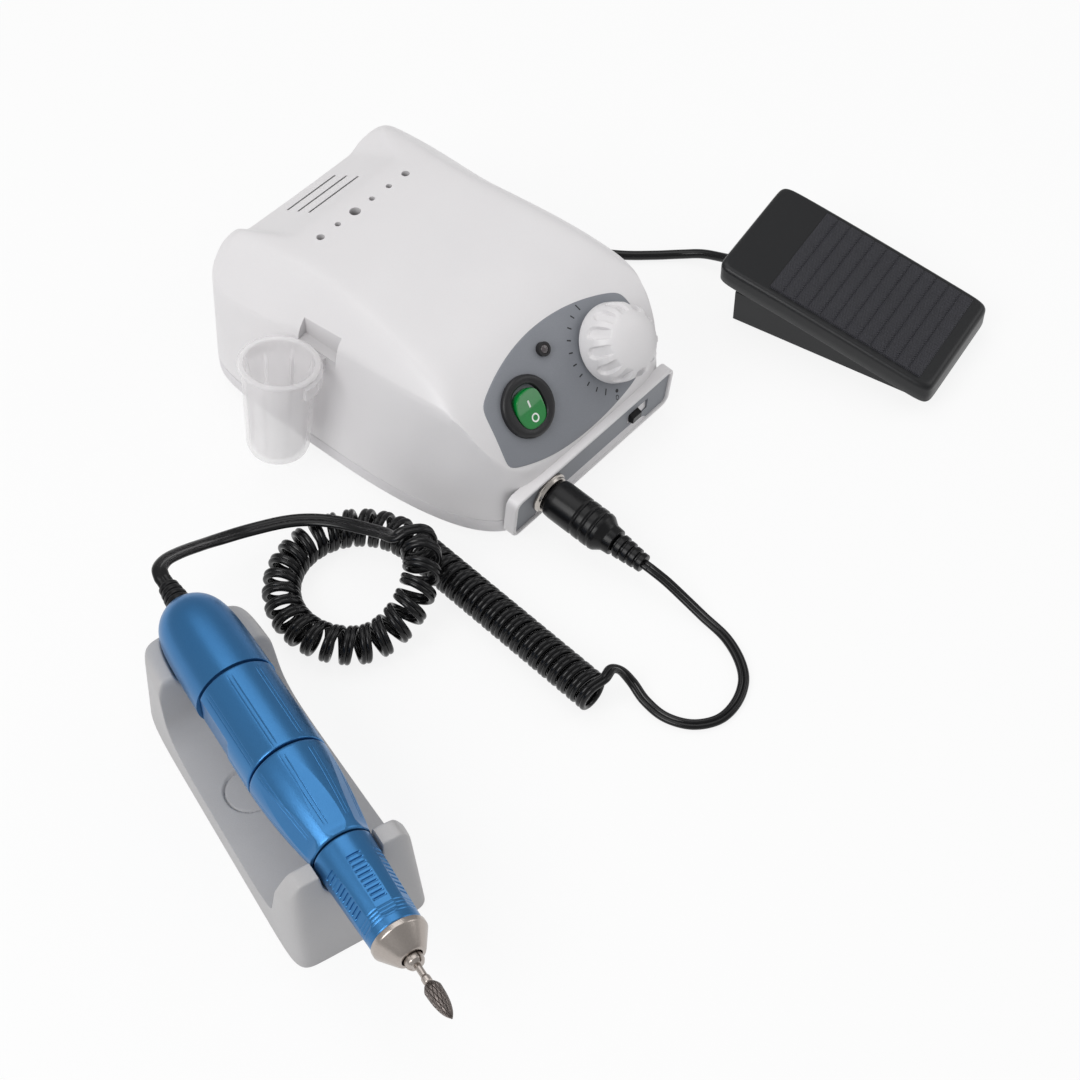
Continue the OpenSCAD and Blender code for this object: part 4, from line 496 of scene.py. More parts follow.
def camera():
    """Camera at the photograph's angle, away from what it aims at."""
    scene, back = bpy.context.scene, Vector(CAMERA_BACK)
    lens = bpy.data.cameras.new("camera")
    lens.lens, lens.sensor_width = LENS, SENSOR
    made = bpy.data.objects.new("camera", lens)
    made.location = Vector(AIM) + back.normalized() * CAMERA_AWAY
    made.rotation_euler = back.to_track_quat("Z", "Y").to_euler()
    scene.collection.objects.link(made)
    scene.camera = made
    scene.view_settings.view_transform = "Standard"


def lamps():
    """Soft square lamps that face the origin."""
    for name, place, size, power in LAMPS:
        lamp = bpy.data.lights.new(name, "AREA")
        lamp.size, lamp.energy = size, power
        made = bpy.data.objects.new(name, lamp)
        made.location = place
        made.rotation_euler = Vector(place).to_track_quat("Z", "Y").to_euler()
        bpy.context.scene.collection.objects.link(made)


def surroundings():
    """A world that lights plainly, and is white where the camera sees it."""
    world = bpy.data.worlds.new("studio")
    world.use_nodes = True
    bpy.context.scene.world = world
    tree = world.node_tree
    ray = tree.nodes.new("ShaderNodeLightPath").outputs
    seen = maths(tree, "MAXIMUM", ray["Is Camera Ray"], ray["Is Transmission Ray"])
    strength = maths(tree, "MULTIPLY_ADD", seen, 1 - WORLD_LIGHT, WORLD_LIGHT)
    background = tree.nodes["Background"].inputs
    background["Color"].default_value = (1, 1, 1, 1)
    tree.links.new(strength, background["Strength"])


def pale_floor():
    """A square floor that the camera sees nearly white, and that keeps the shadows."""
    mesh = bpy.data.meshes.new("floor")
    corners = ((-1, -1), (1, -1), (1, 1), (-1, 1))
    points = [(FLOOR_HALF * x, FLOOR_HALF * y, FLOOR_Z) for x, y in corners]
    mesh.from_pydata(points, [], [(0, 1, 2, 3)])
    floor = bpy.data.objects.new("floor", mesh)
    bpy.context.scene.collection.objects.link(floor)
    paint = bpy.data.materials.new("floor")
    paint.use_nodes = True
    tree = paint.node_tree
    shader = tree.nodes["Principled BSDF"]
    shader.inputs["Base Color"].default_value = (FLOOR_GREY, FLOOR_GREY, FLOOR_GREY, 1)
    shader.inputs["Roughness"].default_value = 0.9
    glow = tree.nodes.new("ShaderNodeEmission")
    glow.inputs["Strength"].default_value = 1.0
    ray = tree.nodes.new("ShaderNodeLightPath").outputs
    mirrored = maths(tree, "MAXIMUM", ray["Is Glossy Ray"], ray["Is Transmission Ray"])
    seen = maths(tree, "MAXIMUM", ray["Is Camera Ray"], mirrored)
    both = tree.nodes.new("ShaderNodeMixShader")
    tree.links.new(maths(tree, "MULTIPLY", seen, FLOOR_GLOW), both.inputs[0])
    tree.links.new(shader.outputs[0], both.inputs[1])
    tree.links.new(glow.outputs[0], both.inputs[2])
    tree.links.new(both.outputs[0], tree.nodes["Material Output"].inputs["Surface"])
    mesh.materials.append(paint)


camera()
lamps()
surroundings()
pale_floor()


# Leads

TWIN_W, TWIN_T, PEDAL_CORD_D = 4.2, 2.3, 4.0
LEAD_STEPS, TAIL_STEPS, CURL_STEPS, HANK_POINTS = 14, 12, 40, 420
CURLS, CURL_R, CURL_RING_R, CURL_SWEEP, CURL_SPIRAL = 45, 6.2, 29.2, np.radians(340), 4.2
CURL_START, CURL_CENTRE = np.array([-82.7, -149.0]), np.array([-104.0, -51.0])
CURL_BASE = CURL_R + TWIN_T / 2
CURL_CLIMB, CLIMB_FROM, CLIMB_TO = 2 * CURL_BASE + 0.9, np.radians(230), np.radians(325)
CURL_AWAY = CURL_START - CURL_CENTRE
CURL_LINE = np.sqrt(CURL_AWAY @ CURL_AWAY - CURL_RING_R ** 2)
CURL_ARC = (CURL_RING_R - CURL_SPIRAL / 2) * CURL_SWEEP
PLUG_ROUTE = [[-26.5, -137, 7.5], [-26.5, -146, 4.5], [-27, -155, 2.2], [-28.6, -166.4, 1.4],
              [-33.4, -176.5, 1.4], [-40, -183.5, 1.4], [-49.4, -187.2, 1.4],
              [-58.9, -186.8, 1.4], [-66.8, -181, 1.4], [-70.6, -171.7, 1.4], [-70, -162, 1.8],
              [-68.4, -154.5, 4.5], [-69.4, -150, 8.5], [-73, -148.4, 12]]
HAND_ROUTE = [[-159.6, -11, 39.3], [-154.5, -8.2, 36.8], [-147.5, -6.6, 32.8], [-139, -5.6, 27.6],
              [-128, -5, 21], [-116, -8, 17.5], [-104, -15, 17], [-96.6, -22, 17],
              [-91.5, -31, 18], [-88.5, -41, 20], [-87.5, -50, 23.5], [-88, -56.5, 27]]
PEDAL_ROUTE = [[124, -47, 7], [122, -37, 4.5], [117.5, -29, 2.6], [110, -20.5, 2.1],
               [101, -10, 2.1], [93, 3, 2.1], [86, 18, 2.1], [80, 34, 2.1], [75.5, 50, 2.1],
               [72.5, 66, 2.1], [70.5, 78, 2.2], [66, 88, 2.6], [58, 93, 3]]
TAIL_ROUTE = [[15, 81.2, 25.5], [20, 82, 28.5]]
PEDAL_BOOT = np.array([29.8, 82.6, 32.0])
HANK_LOOPS, HANK_RUN, HANK_FOLD, HANK_LAST_RUN = 4, 58.0, 10.0, 1.35
HANK_X, HANK_Y, HANK_Z, HANK_STEP = 18.0, 94.0, 3.0, PEDAL_CORD_D + 0.42
HANK_TURN = np.pi * HANK_FOLD
HANK_LOOP = 2 * HANK_RUN + 2 * HANK_TURN


def spline(points, steps):
    """A Catmull-Rom curve through the points."""
    p = np.asarray(points, float)
    a, b = np.concatenate([p[:1], p[:-2]]), p[:-1]
    c, d = p[1:], np.concatenate([p[2:], p[-1:]])
    u = (np.arange(steps) / steps)[None, :, None]
    a, b, c, d = a[:, None], b[:, None], c[:, None], d[:, None]
    square, cube = 2 * a - 5 * b + 4 * c - d, 3 * b - a - 3 * c + d
    curve = 0.5 * (2 * b + (c - a) * u + square * u ** 2 + cube * u ** 3)
    return np.concatenate([curve.reshape(-1, 3), p[-1:]])


def straight_end(start, step):
    """First points of a lead that leaves straight."""
    return [start, start + step / 2, start + step]


def curl_axis(s):
    """Line that the curls wind round: a straight run onto a ring, which climbs over its start."""
    begin = np.arctan2(CURL_AWAY[1], CURL_AWAY[0])
    begin = begin + np.arccos(CURL_RING_R / np.linalg.norm(CURL_AWAY))
    short = np.minimum(0, s - CURL_LINE)
    g = np.maximum(0, s - CURL_LINE) / CURL_ARC * CURL_SWEEP
    a, r = begin + g, CURL_RING_R - CURL_SPIRAL * g / CURL_SWEEP
    x = CURL_CENTRE[0] + r * np.cos(a) - short * np.sin(begin)
    y = CURL_CENTRE[1] + r * np.sin(a) + short * np.cos(begin)
    z = CURL_BASE + CURL_CLIMB * ease((g - CLIMB_FROM) / (CLIMB_TO - CLIMB_FROM))
    return np.stack([x, y, z], axis=-1)


def curl_along(u):
    """Way along the curl axis after u turns: one pitch on the straight and on the ring's inside."""
    inner, close = CURL_RING_R - CURL_R, CURL_SPIRAL / CURL_SWEEP
    pitch = (CURL_LINE + inner * CURL_SWEEP - close * CURL_SWEEP ** 2 / 2) / CURLS
    d = u * pitch - CURL_LINE
    turned = (inner - np.sqrt(inner ** 2 - 2 * close * np.maximum(d, 0))) / close
    return np.where(d < 0, u * pitch, CURL_LINE + CURL_ARC / CURL_SWEEP * turned)


def curls(u):
    """A helix of one turn per unit of u round the curl axis, with the axis direction there."""
    s, near = curl_along(u), 0.1
    ahead = unit(curl_axis(s + near) - curl_axis(s - near))
    left = unit(np.stack([-ahead[:, 1], ahead[:, 0], 0 * s], axis=-1))
    up = np.cross(ahead, left)
    a = np.pi / 2 - TAU * u
    return curl_axis(s) + CURL_R * (np.cos(a)[:, None] * left + np.sin(a)[:, None] * up), ahead


def hank(s):
    """Loops on edge: low run, half turn, high run, half turn, each a step nearer the unit."""
    n, d = np.floor(s / HANK_LOOP), np.mod(s, HANK_LOOP)
    right, left = HANK_X + HANK_RUN / 2, HANK_X - HANK_RUN / 2
    back = d - HANK_RUN - HANK_TURN
    y = HANK_Y - HANK_STEP * (n + ease(back / HANK_RUN))
    part = [d < HANK_RUN, d < HANK_RUN + HANK_TURN, d < 2 * HANK_RUN + HANK_TURN]
    a = np.where(part[1], d - HANK_RUN, d - 2 * HANK_RUN - HANK_TURN) / HANK_FOLD
    x = np.select(part, [right - d, left - HANK_FOLD * np.sin(a), left + d - HANK_RUN - HANK_TURN],
                  right + HANK_FOLD * np.sin(a))
    z = np.select(part, [0 * d, HANK_FOLD * (1 - np.cos(a)), 0 * d + 2 * HANK_FOLD],
                  HANK_FOLD * (1 + np.cos(a)))
    return np.stack([x, y, HANK_Z + z], axis=-1)


def level(path):
    """Direction square to the run and level with the floor, at each point of a path."""
    run = unit(np.gradient(path, axis=0))
    return unit(np.stack([-run[:, 1], run[:, 0], 0 * run[:, 0]], axis=-1) + 1e-9)


def flat_into_coil(path, coil, over):
    """Flat side of a lead, level at first, turned to the coil's direction over the last points.

    Gives the direction and the share of the turn at each point.
    """
    turned = ease((np.arange(len(path)) - len(path) + over) / over)[:, None]
    across = level(path)
    facing = np.where(across[-1] @ coil < 0, -1.0, 1.0)
    return unit(across * (1 - turned) * facing + coil * turned), turned


def twin_section(n=22):
    """Two round cores side by side: the farther circle in each direction from the middle."""
    a = np.linspace(0, TAU, n, endpoint=False) + np.pi / n
    r, apart = TWIN_T / 2, (TWIN_W - TWIN_T) / 2
    out = apart * np.abs(np.cos(a)) + np.sqrt(r ** 2 - (apart * np.sin(a)) ** 2)
    return np.stack([out * np.cos(a), out * np.sin(a)], axis=-1)


def motor_lead():
    """Plug lead and curls in one, with the flat side turning into the coil's own."""
    leave = in_frame(ON_STRIP, JACK_X, 0, PLUG_LEAD_Z)
    turns, ahead = curls(np.linspace(0, CURLS, CURLS * CURL_STEPS + 1))
    run = unit(turns[1] - turns[0])
    lead = spline([*straight_end(leave, TWIN_W * ON_STRIP[1][2]), *PLUG_ROUTE,
                   turns[0] - TWIN_W * run, turns[0]], LEAD_STEPS)[:-1]
    path = np.concatenate([lead, turns])
    wide = np.concatenate([flat_into_coil(lead, ahead[0], 60)[0], ahead])
    made = piece("motor_cord", [tube(path, wide, twin_section())], "console", CORD,
                 ("plug_lead", "curly_cord"), sharp=75)


def handpiece_lead():
    """From the handpiece's gland down to the last curl."""
    gland_end, widening = -12.0, 0.4
    leave = in_frame(ON_HAND, 0, 0, gland_end)
    end, ahead = curls(np.array([CURLS - 0.01, CURLS]))
    run = unit(end[1] - end[0])
    path = spline([*straight_end(leave, -TWIN_W * ON_HAND[1][2]), *HAND_ROUTE,
                   end[1] + TWIN_W * run, end[1]], LEAD_STEPS)
    wide, turned = flat_into_coil(path, ahead[1], 50)
    spread = 1 + widening - widening * turned
    made = piece("handpiece_cord", [tube(path, wide, twin_section(), spread)], None, CORD,
                 ("handpiece_lead",), sharp=75)
    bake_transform(made)


def pedal_plug():
    """Right-angle plug: a round body turned out of the unit's back, and a ribbed boot across."""
    at = frame_at([42, 79.2, 32], [1, 0, 0], [0, 0, -1])
    boot = frame_at(PEDAL_BOOT, [0, 1, 0], [0, 0, 1])
    body = [[0, 0], [4.2, 0], [4.2, 7.6], [0, 7.6]]
    ribs = repeated([[2.5, 0.3], [2.5, 1.4], [2.1, 1.5], [2.1, 2.1]], [0.15, 2], 4)
    grip = [[0, -0.2], [2.3, 0], *ribs, [3.1, 9], [3.1, 12.2], [0, 12.2]]
    sheets = [lathe(at, rounded(body, 0.8), 48), lathe(boot, rounded(grip, 0.2), 36)]
    return piece("pedal_lead_plug", sheets, "console", GLOSS_BLACK,
                 ("pedal_plug",))


def pedal_lead():
    """Round lead from the pedal round the unit's side, its spare length in a hank, and its plug."""
    leave = in_frame(ON_PEDAL, 0, 48.0, 10.2)
    end = (HANK_LOOPS - 1) * HANK_LOOP + HANK_RUN * HANK_LAST_RUN + HANK_TURN
    wound = hank(np.linspace(0, end, HANK_POINTS))
    sideways = np.array([PEDAL_CORD_D, 0, 0])
    lead = spline([*straight_end(leave, PEDAL_CORD_D * ON_PEDAL[1][1]), *PEDAL_ROUTE,
                   wound[0] + sideways, wound[0]], LEAD_STEPS)[:-1]
    tail = spline([wound[-2], wound[-1], *TAIL_ROUTE, PEDAL_BOOT - sideways, PEDAL_BOOT],
                  TAIL_STEPS)[TAIL_STEPS + 1:]
    path = np.concatenate([lead, wound, tail])
    section = oval(PEDAL_CORD_D / 2, PEDAL_CORD_D / 2, n=18)
    to_back = np.tile([0.0, 1.0, 0.0], (len(wound) + len(tail), 1))
    made = piece("pedal_cord", [tube(path, np.concatenate([level(lead), to_back]), section)],
                 "console", CORD, ("pedal_lead", "pedal_hank"), sharp=75)
    plug = pedal_plug()


motor_lead()
handpiece_lead()
pedal_lead()


# Control unit

PLAN_POWER, BULGE_Y, BULGE_POWER, DRAWN_FRONT, DRAWN_BACK = 8, 5.0, 2.6, 11.0, 2.0
ROOF_Z, CROWN_Y, CROWN_FALL = 72.0, 20.0, 8.0
BACK_FROM, BACK_CURVE = 66.0, 0.088
RIDGE_Z, RIDGE_FALL = 58.5, 0.1
LEAN_FRONT, LEAN_BACK, LEAN_FROM = 8.5, 3.0, 15.0
SKIRT_STEEP, SHOULDER_STEEP = 20.0, 1.15
NOTCH_Y, NOTCH_HALF, NOTCH_FALL, NOTCH_STEP = 50.0, 30.0, np.tan(np.radians(28)), 0.6
HOLE_Y, HOLE_APART, HOLE_DEEP = 39.0, 9.5, 9.0
HOLE_RADII = (1.65, 1.25, 2.3, 1.25, 1.25, 1.65)
HOLES = [((i - (len(HOLE_RADII) - 1) / 2) * HOLE_APART, r) for i, r in enumerate(HOLE_RADII)]
VENT_FROM, VENT_TO, VENT_APART, VENT_X, VENT_DEEP = 54.85, 56.09, 6.53, 14.0, 2.5
VENTS = [(VENT_FROM + VENT_APART * i, VENT_TO + VENT_APART * i) for i in range(3)]
POCKET_X, POCKET_Y, POCKET_Z, POCKET_SHADE = -50.8, (2.5, 22.5), 52.0, 0.25


def half_width(y):
    """Half width of the plan: drawn in by a power of the distance from the bulge."""
    drawn = np.where(y > BULGE_Y, DRAWN_BACK, DRAWN_FRONT)
    return HALF_W - drawn * np.abs((y - BULGE_Y) / HALF_D) ** BULGE_POWER


def back_fall(y):
    """How far the roof and the ridge round off at the back: a parabola."""
    return BACK_CURVE * np.maximum(0, y - BACK_FROM) ** 2


def roof(y):
    """Roof's crown line: a parabola about the crown, rounded off at the back."""
    return ROOF_Z - CROWN_FALL * ((y - CROWN_Y) / HALF_D) ** 2 - back_fall(y)


def ridge(y):
    """Height of the side ridge: a falling line, rounded off at the back."""
    return RIDGE_Z - RIDGE_FALL * y - back_fall(y)


def lean(y):
    """How far the side wall leans in up to the ridge; less so near the back."""
    return LEAN_FRONT - (LEAN_FRONT - LEAN_BACK) * ease((y - LEAN_FROM) / (HALF_D - LEAN_FROM))


def skin(x, y):
    """Height of the housing: soft minimum of roof, bowed face, sloping shoulders and skirt."""
    w = half_width(y)
    across, along = np.abs(x / w) ** PLAN_POWER, np.abs(y / HALF_D) ** PLAN_POWER
    ring = np.maximum((across + along) ** (1 / PLAN_POWER), 1e-6)
    side = across / np.maximum(across + along, 1e-12)
    edge_y = np.clip(y / ring, -HALF_D, HALF_D)
    steep = np.minimum(SKIRT_STEEP, (ridge(edge_y) - SEAM_Z) / lean(edge_y))
    inwards = (1 - ring) * np.hypot(x, y) / ring
    skirt = SEAM_Z + inwards * (side * steep + (1 - side) * SKIRT_STEEP)
    forward = np.minimum(0, y - FACE_C[0])
    face = FACE_C[1] + np.sqrt(np.maximum(0, FACE_R ** 2 - forward ** 2))
    shoulder = ridge(y) + (w - lean(y) - np.abs(x)) * SHOULDER_STEEP
    return soft_min(0.5, roof(y), face, shoulder, skirt)


def lines(special, filler, gap):
    """Sorted grid lines: the special ones, and the filler ones that keep a gap to them."""
    special, filler = np.unique(np.round(special, 4)), np.asarray(filler)
    keep = np.abs(filler[:, None] - special[None]).min(axis=1) > gap
    return np.sort(np.concatenate([special, filler[keep]]))


def plan_outline(n=480):
    """Plan outline: |x / half width|^8 + |y / half depth|^8 = 1."""
    xy = oval(1.0, HALF_D, PLAN_POWER, n)
    return np.stack([xy[:, 0] * half_width(xy[:, 1]), xy[:, 1]], axis=-1)


def housing_grid(drop):
    """Grid lines of the housing: close at its edge and at both sides of each opening's wall.

    drop is the small width on plan that an opening's wall takes up.
    """
    from_side = [0, .003, .007, .012, .02, .03, .042, .056, .07, .085, .1, .12, .14]
    from_end = [0, .0015, .004, .007, .011, .016, .022, .03, .04, .052, .066, .082]
    hole_rows = (0, .3, .6, .9, 1.23, 1.25, 1.45, 1.63, 1.65, 1.95, 2.28, 2.3, 2.8, 3.4)
    both = (-1, 1)
    edge_x, edge_y = HALF_W * (1 - np.array(from_side)), HALF_D * (1 - np.array(from_end))
    hole_x = [x + s * r * t for x, r in HOLES for s in both
              for t in (0, .3, .55, .8, 1, 1 - drop / r, 1.3)]
    hole_y = [HOLE_Y + s * t for s in both for t in hole_rows]
    vent_x = [s * t for s in both for t in (VENT_X, VENT_X - drop)]
    vent_y = [t for a, b in VENTS for t in (a, a + drop, (a + b) / 2, b - drop, b)]
    clip_x = [POCKET_X, POCKET_X - drop]
    clip_y = [POCKET_Y[0], POCKET_Y[0] + drop, POCKET_Y[1], POCKET_Y[1] - drop]
    special_x = np.concatenate([edge_x, -edge_x, hole_x, vent_x, clip_x])
    special_y = np.concatenate([edge_y, -edge_y, hole_y, vent_y, clip_y])
    return np.meshgrid(lines(special_x, np.linspace(-HALF_W, HALF_W, 150), 0.3),
                       lines(special_y, np.linspace(-HALF_D, HALF_D, 170), 0.3))


def housing():
    """The skin over a grid pressed into the plan, with notch, bur holes, vents and clip pocket.

    Round each hole the grid's squares are drawn into circles, and what lies inside drops to the
    hole's floor. The pocket is cut level where the skin stands above its floor.
    """
    drop, hole_ease = 0.02, 1.4
    gx, gy = housing_grid(drop)
    across, along, ring = pressed(gx / HALF_W, gy / HALF_D, PLAN_POWER)
    y = HALF_D * along
    x = HALF_W * across * (1 - (1 - half_width(y) / HALF_W) * ring ** 4)

    def between(low, high):
        """Whether a point's row lies between an opening's front and back walls."""
        return (gy > low + drop / 2) & (gy < high - drop / 2)

    sunk = np.zeros_like(x)
    for hole_x, r in HOLES:
        dx, dy = gx - hole_x, gy - HOLE_Y
        square = np.maximum(np.abs(dx), np.abs(dy))
        pull = square / np.maximum(np.hypot(dx, dy), 1e-9)
        eased = pull + (1 - pull) * np.clip((square - r) / hole_ease, 0, 1)
        pull = np.where(square < r + hole_ease, eased, 1)
        x, y = x + dx * (pull - 1), y + dy * (pull - 1)
        sunk = np.where(square < r - drop / 2, HOLE_DEEP, sunk)
    for low, high in VENTS:
        sunk = np.where((np.abs(gx) < VENT_X - drop / 2) & between(low, high), VENT_DEEP, sunk)
    notch = roof(NOTCH_Y) - NOTCH_STEP - (y - NOTCH_Y) * NOTCH_FALL
    notch = soft_max(0.9, notch, notch + np.abs(x) - NOTCH_HALF)
    z = soft_min(1.1, skin(x, y), notch)
    pocket = (gx < POCKET_X - drop / 2) & between(*POCKET_Y) & (z > POCKET_Z)
    z = np.where(pocket, POCKET_Z, z)
    z = np.where(ring > 0.9999, SEAM_Z, z) - sunk
    # Painted shade: bur holes and vents are painted fully dark, and the clip pocket's floor a
    # quarter dark.
    piece("housing_skin", [(np.stack([x, y, z], axis=-1), False, False)], "console", SHELL,
          ("upper_housing",), sharp=30, painted_shade=np.where(pocket, POCKET_SHADE, sunk > 0))


def tray():
    """Plan outline carried up from the floor plate: a rounded foot, and a seam at the housing."""
    layers = [(3, 3.0), (1.6, 3.05), (0.8, 3.5), (0.25, 4.3), (0.05, 5.4), (0, 7), (0, 10.3),
              (0.1, 10.5), (0.5, 10.6), (0.5, SEAM_Z)]
    piece("tray_skin", [plate(ON_UNIT, plan_outline(), layers)], "console", TRAY,
          ("base_tray",), sharp=50)


def arc_radius(half_chord, rise):
    """Radius of the arc over a chord: (half chord^2 + rise^2) / (2 rise)."""
    return (half_chord ** 2 + rise ** 2) / (2 * rise)


def lens_outline(n=240):
    """Edge of the front panel: on each ray, where the soft greatest of four distances is nil."""
    half_w, half_h, taper, rise = 41.5, 23, 0.12, 10.5
    top_r, low_r = arc_radius(40, rise), arc_radius(43, rise)
    a = np.linspace(0, TAU, n, endpoint=False)

    def inside(r):
        """Whether a point on each ray lies inside both arcs and both ends."""
        x, y = r * np.cos(a), r * np.sin(a)
        return soft_max(0.75, np.abs(x) - half_w + taper * y,
                        np.hypot(x, y - half_h + top_r) - top_r,
                        np.hypot(x, y + half_h - low_r) - low_r) < 0

    r = edge_of(inside, np.zeros(n), np.full(n, 60.0), 40)
    return np.stack([r * np.cos(a), r * np.sin(a)], axis=-1)


def on_skin(x, y, lift):
    """Panel points dropped along the panel's normal onto the housing's skin, and lifted off it."""
    def under(depth):
        """Whether the point at a depth lies under the skin."""
        p = in_frame(ON_PANEL, x, y, depth)
        return p[..., 2] < skin(p[..., 0], p[..., 1])

    depth = edge_of(under, np.full(x.shape, -12.0), np.full(x.shape, 3.0), 36)
    return in_frame(ON_PANEL, x, y, depth + lift)


def decal(outline, layers):
    """A thin layer laid on the skin: rings of (share, lift) from its middle out, then its edge."""
    middle = outline.mean(axis=0)
    share, lift = np.asarray(layers, float).T[:, :, None]
    xy = middle + (outline - middle)[None] * share[..., None]
    return on_skin(xy[..., 0], xy[..., 1], lift + 0 * xy[..., 0])[::-1], True, False


def front_panel():
    """The grey lens panel on the skin."""
    face = [(share, 0.32) for share in np.linspace(0, 0.985, 24)]
    edge = [(0.994, 0.27), (1.0, 0.1), (1.0, -0.4)]
    piece("lens_panel", [decal(lens_outline(), face + edge)], "console", PANEL,
          ("control_panel",), sharp=50)


def dial_marks():
    """Plain marks printed round the knob: turned bars, then a dot and a nought at the low end."""
    dial_r, nought_r, first, last, low_end = 18.6, 21.2, 100, 232, np.radians(250)
    ink_low, ink_top = 0.2, 0.36
    flat = [(0, ink_top), (0.5, ink_top), (1.0, ink_top), (1.0, ink_low)]
    marks = []
    for degrees in np.linspace(first, last, 10):
        size = 2.6 if degrees in (first, last) else 1.9
        x, y = (rounded_box(size, 0.55, 0.2, 4) + [dial_r, 0]).T
        c, s = np.cos(np.radians(degrees)), np.sin(np.radians(degrees))
        marks.append(decal(np.stack([KNOB_X + x * c - y * s, x * s + y * c], axis=-1), flat))
    at_dot, at_nought = [np.array([KNOB_X + r * np.cos(low_end), r * np.sin(low_end)])
                         for r in (dial_r, nought_r)]
    marks.append(decal(oval(0.75, 0.75, n=24) + at_dot, flat))
    rings = ((0.66, ink_low), (0.66, ink_top), (1.0, ink_top), (1.0, ink_low))
    nought = [on_skin(*(at_nought + oval(0.8 * k, 1.1 * k, n=32)).T, lift) for k, lift in rings]
    marks.append((np.stack(nought)[::-1], True, False))
    piece("dial_marks", marks, "console", PRINT, sharp=50)


def switch_ring():
    """Round bezel: its rim comes up and over to an oval opening with a sunk well."""
    opening, rim = oval(7.3, 8.4, 2.5), oval(12, 12)
    rings = [(rim * k, z) for k, z in ((1, 0.2), (1, 1.3), (0.985, 1.75), (0.95, 2.2),
                                       (0.9, 2.45), (0.84, 2.5))]
    rings += [(opening * k, z) for k, z in ((1.1, 2.35), (1.03, 2.2), (1, 1.9), (1, -6.5),
                                            (0.02, -6.5))]
    sheet = rings_of(moved(ON_PANEL, SWITCH_X, SWITCH_Y), rings)
    piece("switch_ring", [(sheet, True, False)], "console", BLACK,
          ("switch_bezel",))


def rocker_cap():
    """Rocker on its tilted pivot: a dished oval top, walls below, a line and a ring on it."""
    pivot = moved(ON_PANEL, SWITCH_X, SWITCH_Y, -5)
    c, s = np.cos(np.radians(9)), np.sin(np.radians(9))
    tilted = pivot[0], np.array([[1, 0, 0], [0, c, s], [0, -s, c]]) @ pivot[1]
    shape = oval(6.7, 7.8, 2.5)

    def top(y):
        """Height of the dished top: a parabola."""
        return 7.0 + 1.1 * (y / 8.2) ** 2

    rings = [(shape * k, top(shape[:, 1] * k)) for k in (0.02, 0.4, 0.7, 0.86, 0.94)]
    rings += [(shape * k, top(shape[:, 1]) - d) for k, d in
              ((0.97, 0.12), (0.99, 0.45), (1.0, 1.0), (0.98, 3.0), (0.9, 6.0), (0.6, 7.5))]
    piece("rocker_cap", [(rings_of(tilted, rings)[::-1], True, True)], "rocker", GREEN,
          ("rocker",))
    sunk, proud, ring_at = -0.2, 0.06, [0, -3.9]
    bar = rounded_box(0.8, 3.0, 0.3, 5) + [0, 2.2]
    wide, narrow = [oval(r, r, n=40) + ring_at for r in (1.75, 1.15)]
    line = [(bar, sunk), (bar, proud)]
    ring = [(wide, sunk), (wide, proud), (narrow, proud), (narrow, sunk)]
    line, ring = [rings_of(tilted, [(xy, top(xy[:, 1]) + h) for xy, h in sign])
                  for sign in (line, ring)]
    piece("rocker_signs", [(line, True, True), (ring, True, False)], "rocker", WHITE_INK,
          sharp=50)


def speed_knob():
    """Domed knob: a round foot, then U-shaped scallops in its side, running out over the dome."""
    foot, top, foot_r, dome_r, rim_h, dome_h, scallops = 1.4, 18.4, 15.5, 15.0, 0.5, 7, 12
    a = np.radians(np.linspace(0, 90, 26))
    side = [[0.01, foot], [14.9, foot], [15.3, foot + 0.1], [foot_r, foot + rim_h]]
    side += [[foot_r - (foot_r - dome_r) * u ** 2, foot + rim_h + (dome_h - rim_h) * u]
             for u in np.linspace(0.1, 1, 14)]
    dome = [dome_r * np.cos(a) ** 0.8, foot + dome_h + (top - foot - dome_h) * np.sin(a)]
    side += np.stack(dome, axis=-1)[1:].tolist()

    def scalloped(r, z, angle):
        """The lesser of r and a leaning flat inside each scallop, whose low end is round."""
        half_w, low, opens = 2.5, 4.8, 3.4
        off = off_spoke(angle, scallops) * 14
        height = z - foot
        open_up = np.clip((height - low) / opens, 0, 1)
        half = half_w * np.sqrt(np.maximum(0, 1 - (1 - open_up) ** 2)) + 0.001
        inside = ease((half - np.abs(off)) / 0.55) * (height > 4.6)
        flat = 14.2 - 0.33 * (height - low)
        return np.where(r > flat, r + (np.minimum(r, flat) - r) * inside, r)

    piece("knob", [lathe(moved(ON_PANEL, KNOB_X, 0), side, 360, scalloped)], "knob", SHELL,
          ("speed_knob",), sharp=50)


def jack_strip():
    """Raised frame, rounded over from its outer to its inner outline, and its sunk grey panel."""
    w, h, band, top = 94.0, 21.5, 3.6, 0.95
    outer, inner = rounded_box(w, h, 4, 12), rounded_box(w - band, h - band, 2.4, 12)
    outside = plate(ON_STRIP, outer, [(0, -4), (0, 0.2), (0.1, 0.65), (0.4, 0.9), (0.75, top)])
    inside = plate(ON_STRIP, inner, [(-0.65, top), (-0.25, 0.85), (0, 0.5), (0, -0.4)])
    piece("strip_frame", [(np.concatenate([outside[0], inside[0]]), True, False)], "console",
          SHELL, ("jack_bezel",), sharp=50)
    slot = rounded_box(12.0, 6.0, 0.5, 12) + [SLIDER_X, 0]
    panel = rings_of(ON_STRIP, [(inner, 0.0), (slot, 0.0), (slot, -5.5)])
    piece("strip_panel", [(panel, True, False)], "console", PANEL, ("jack_panel",))


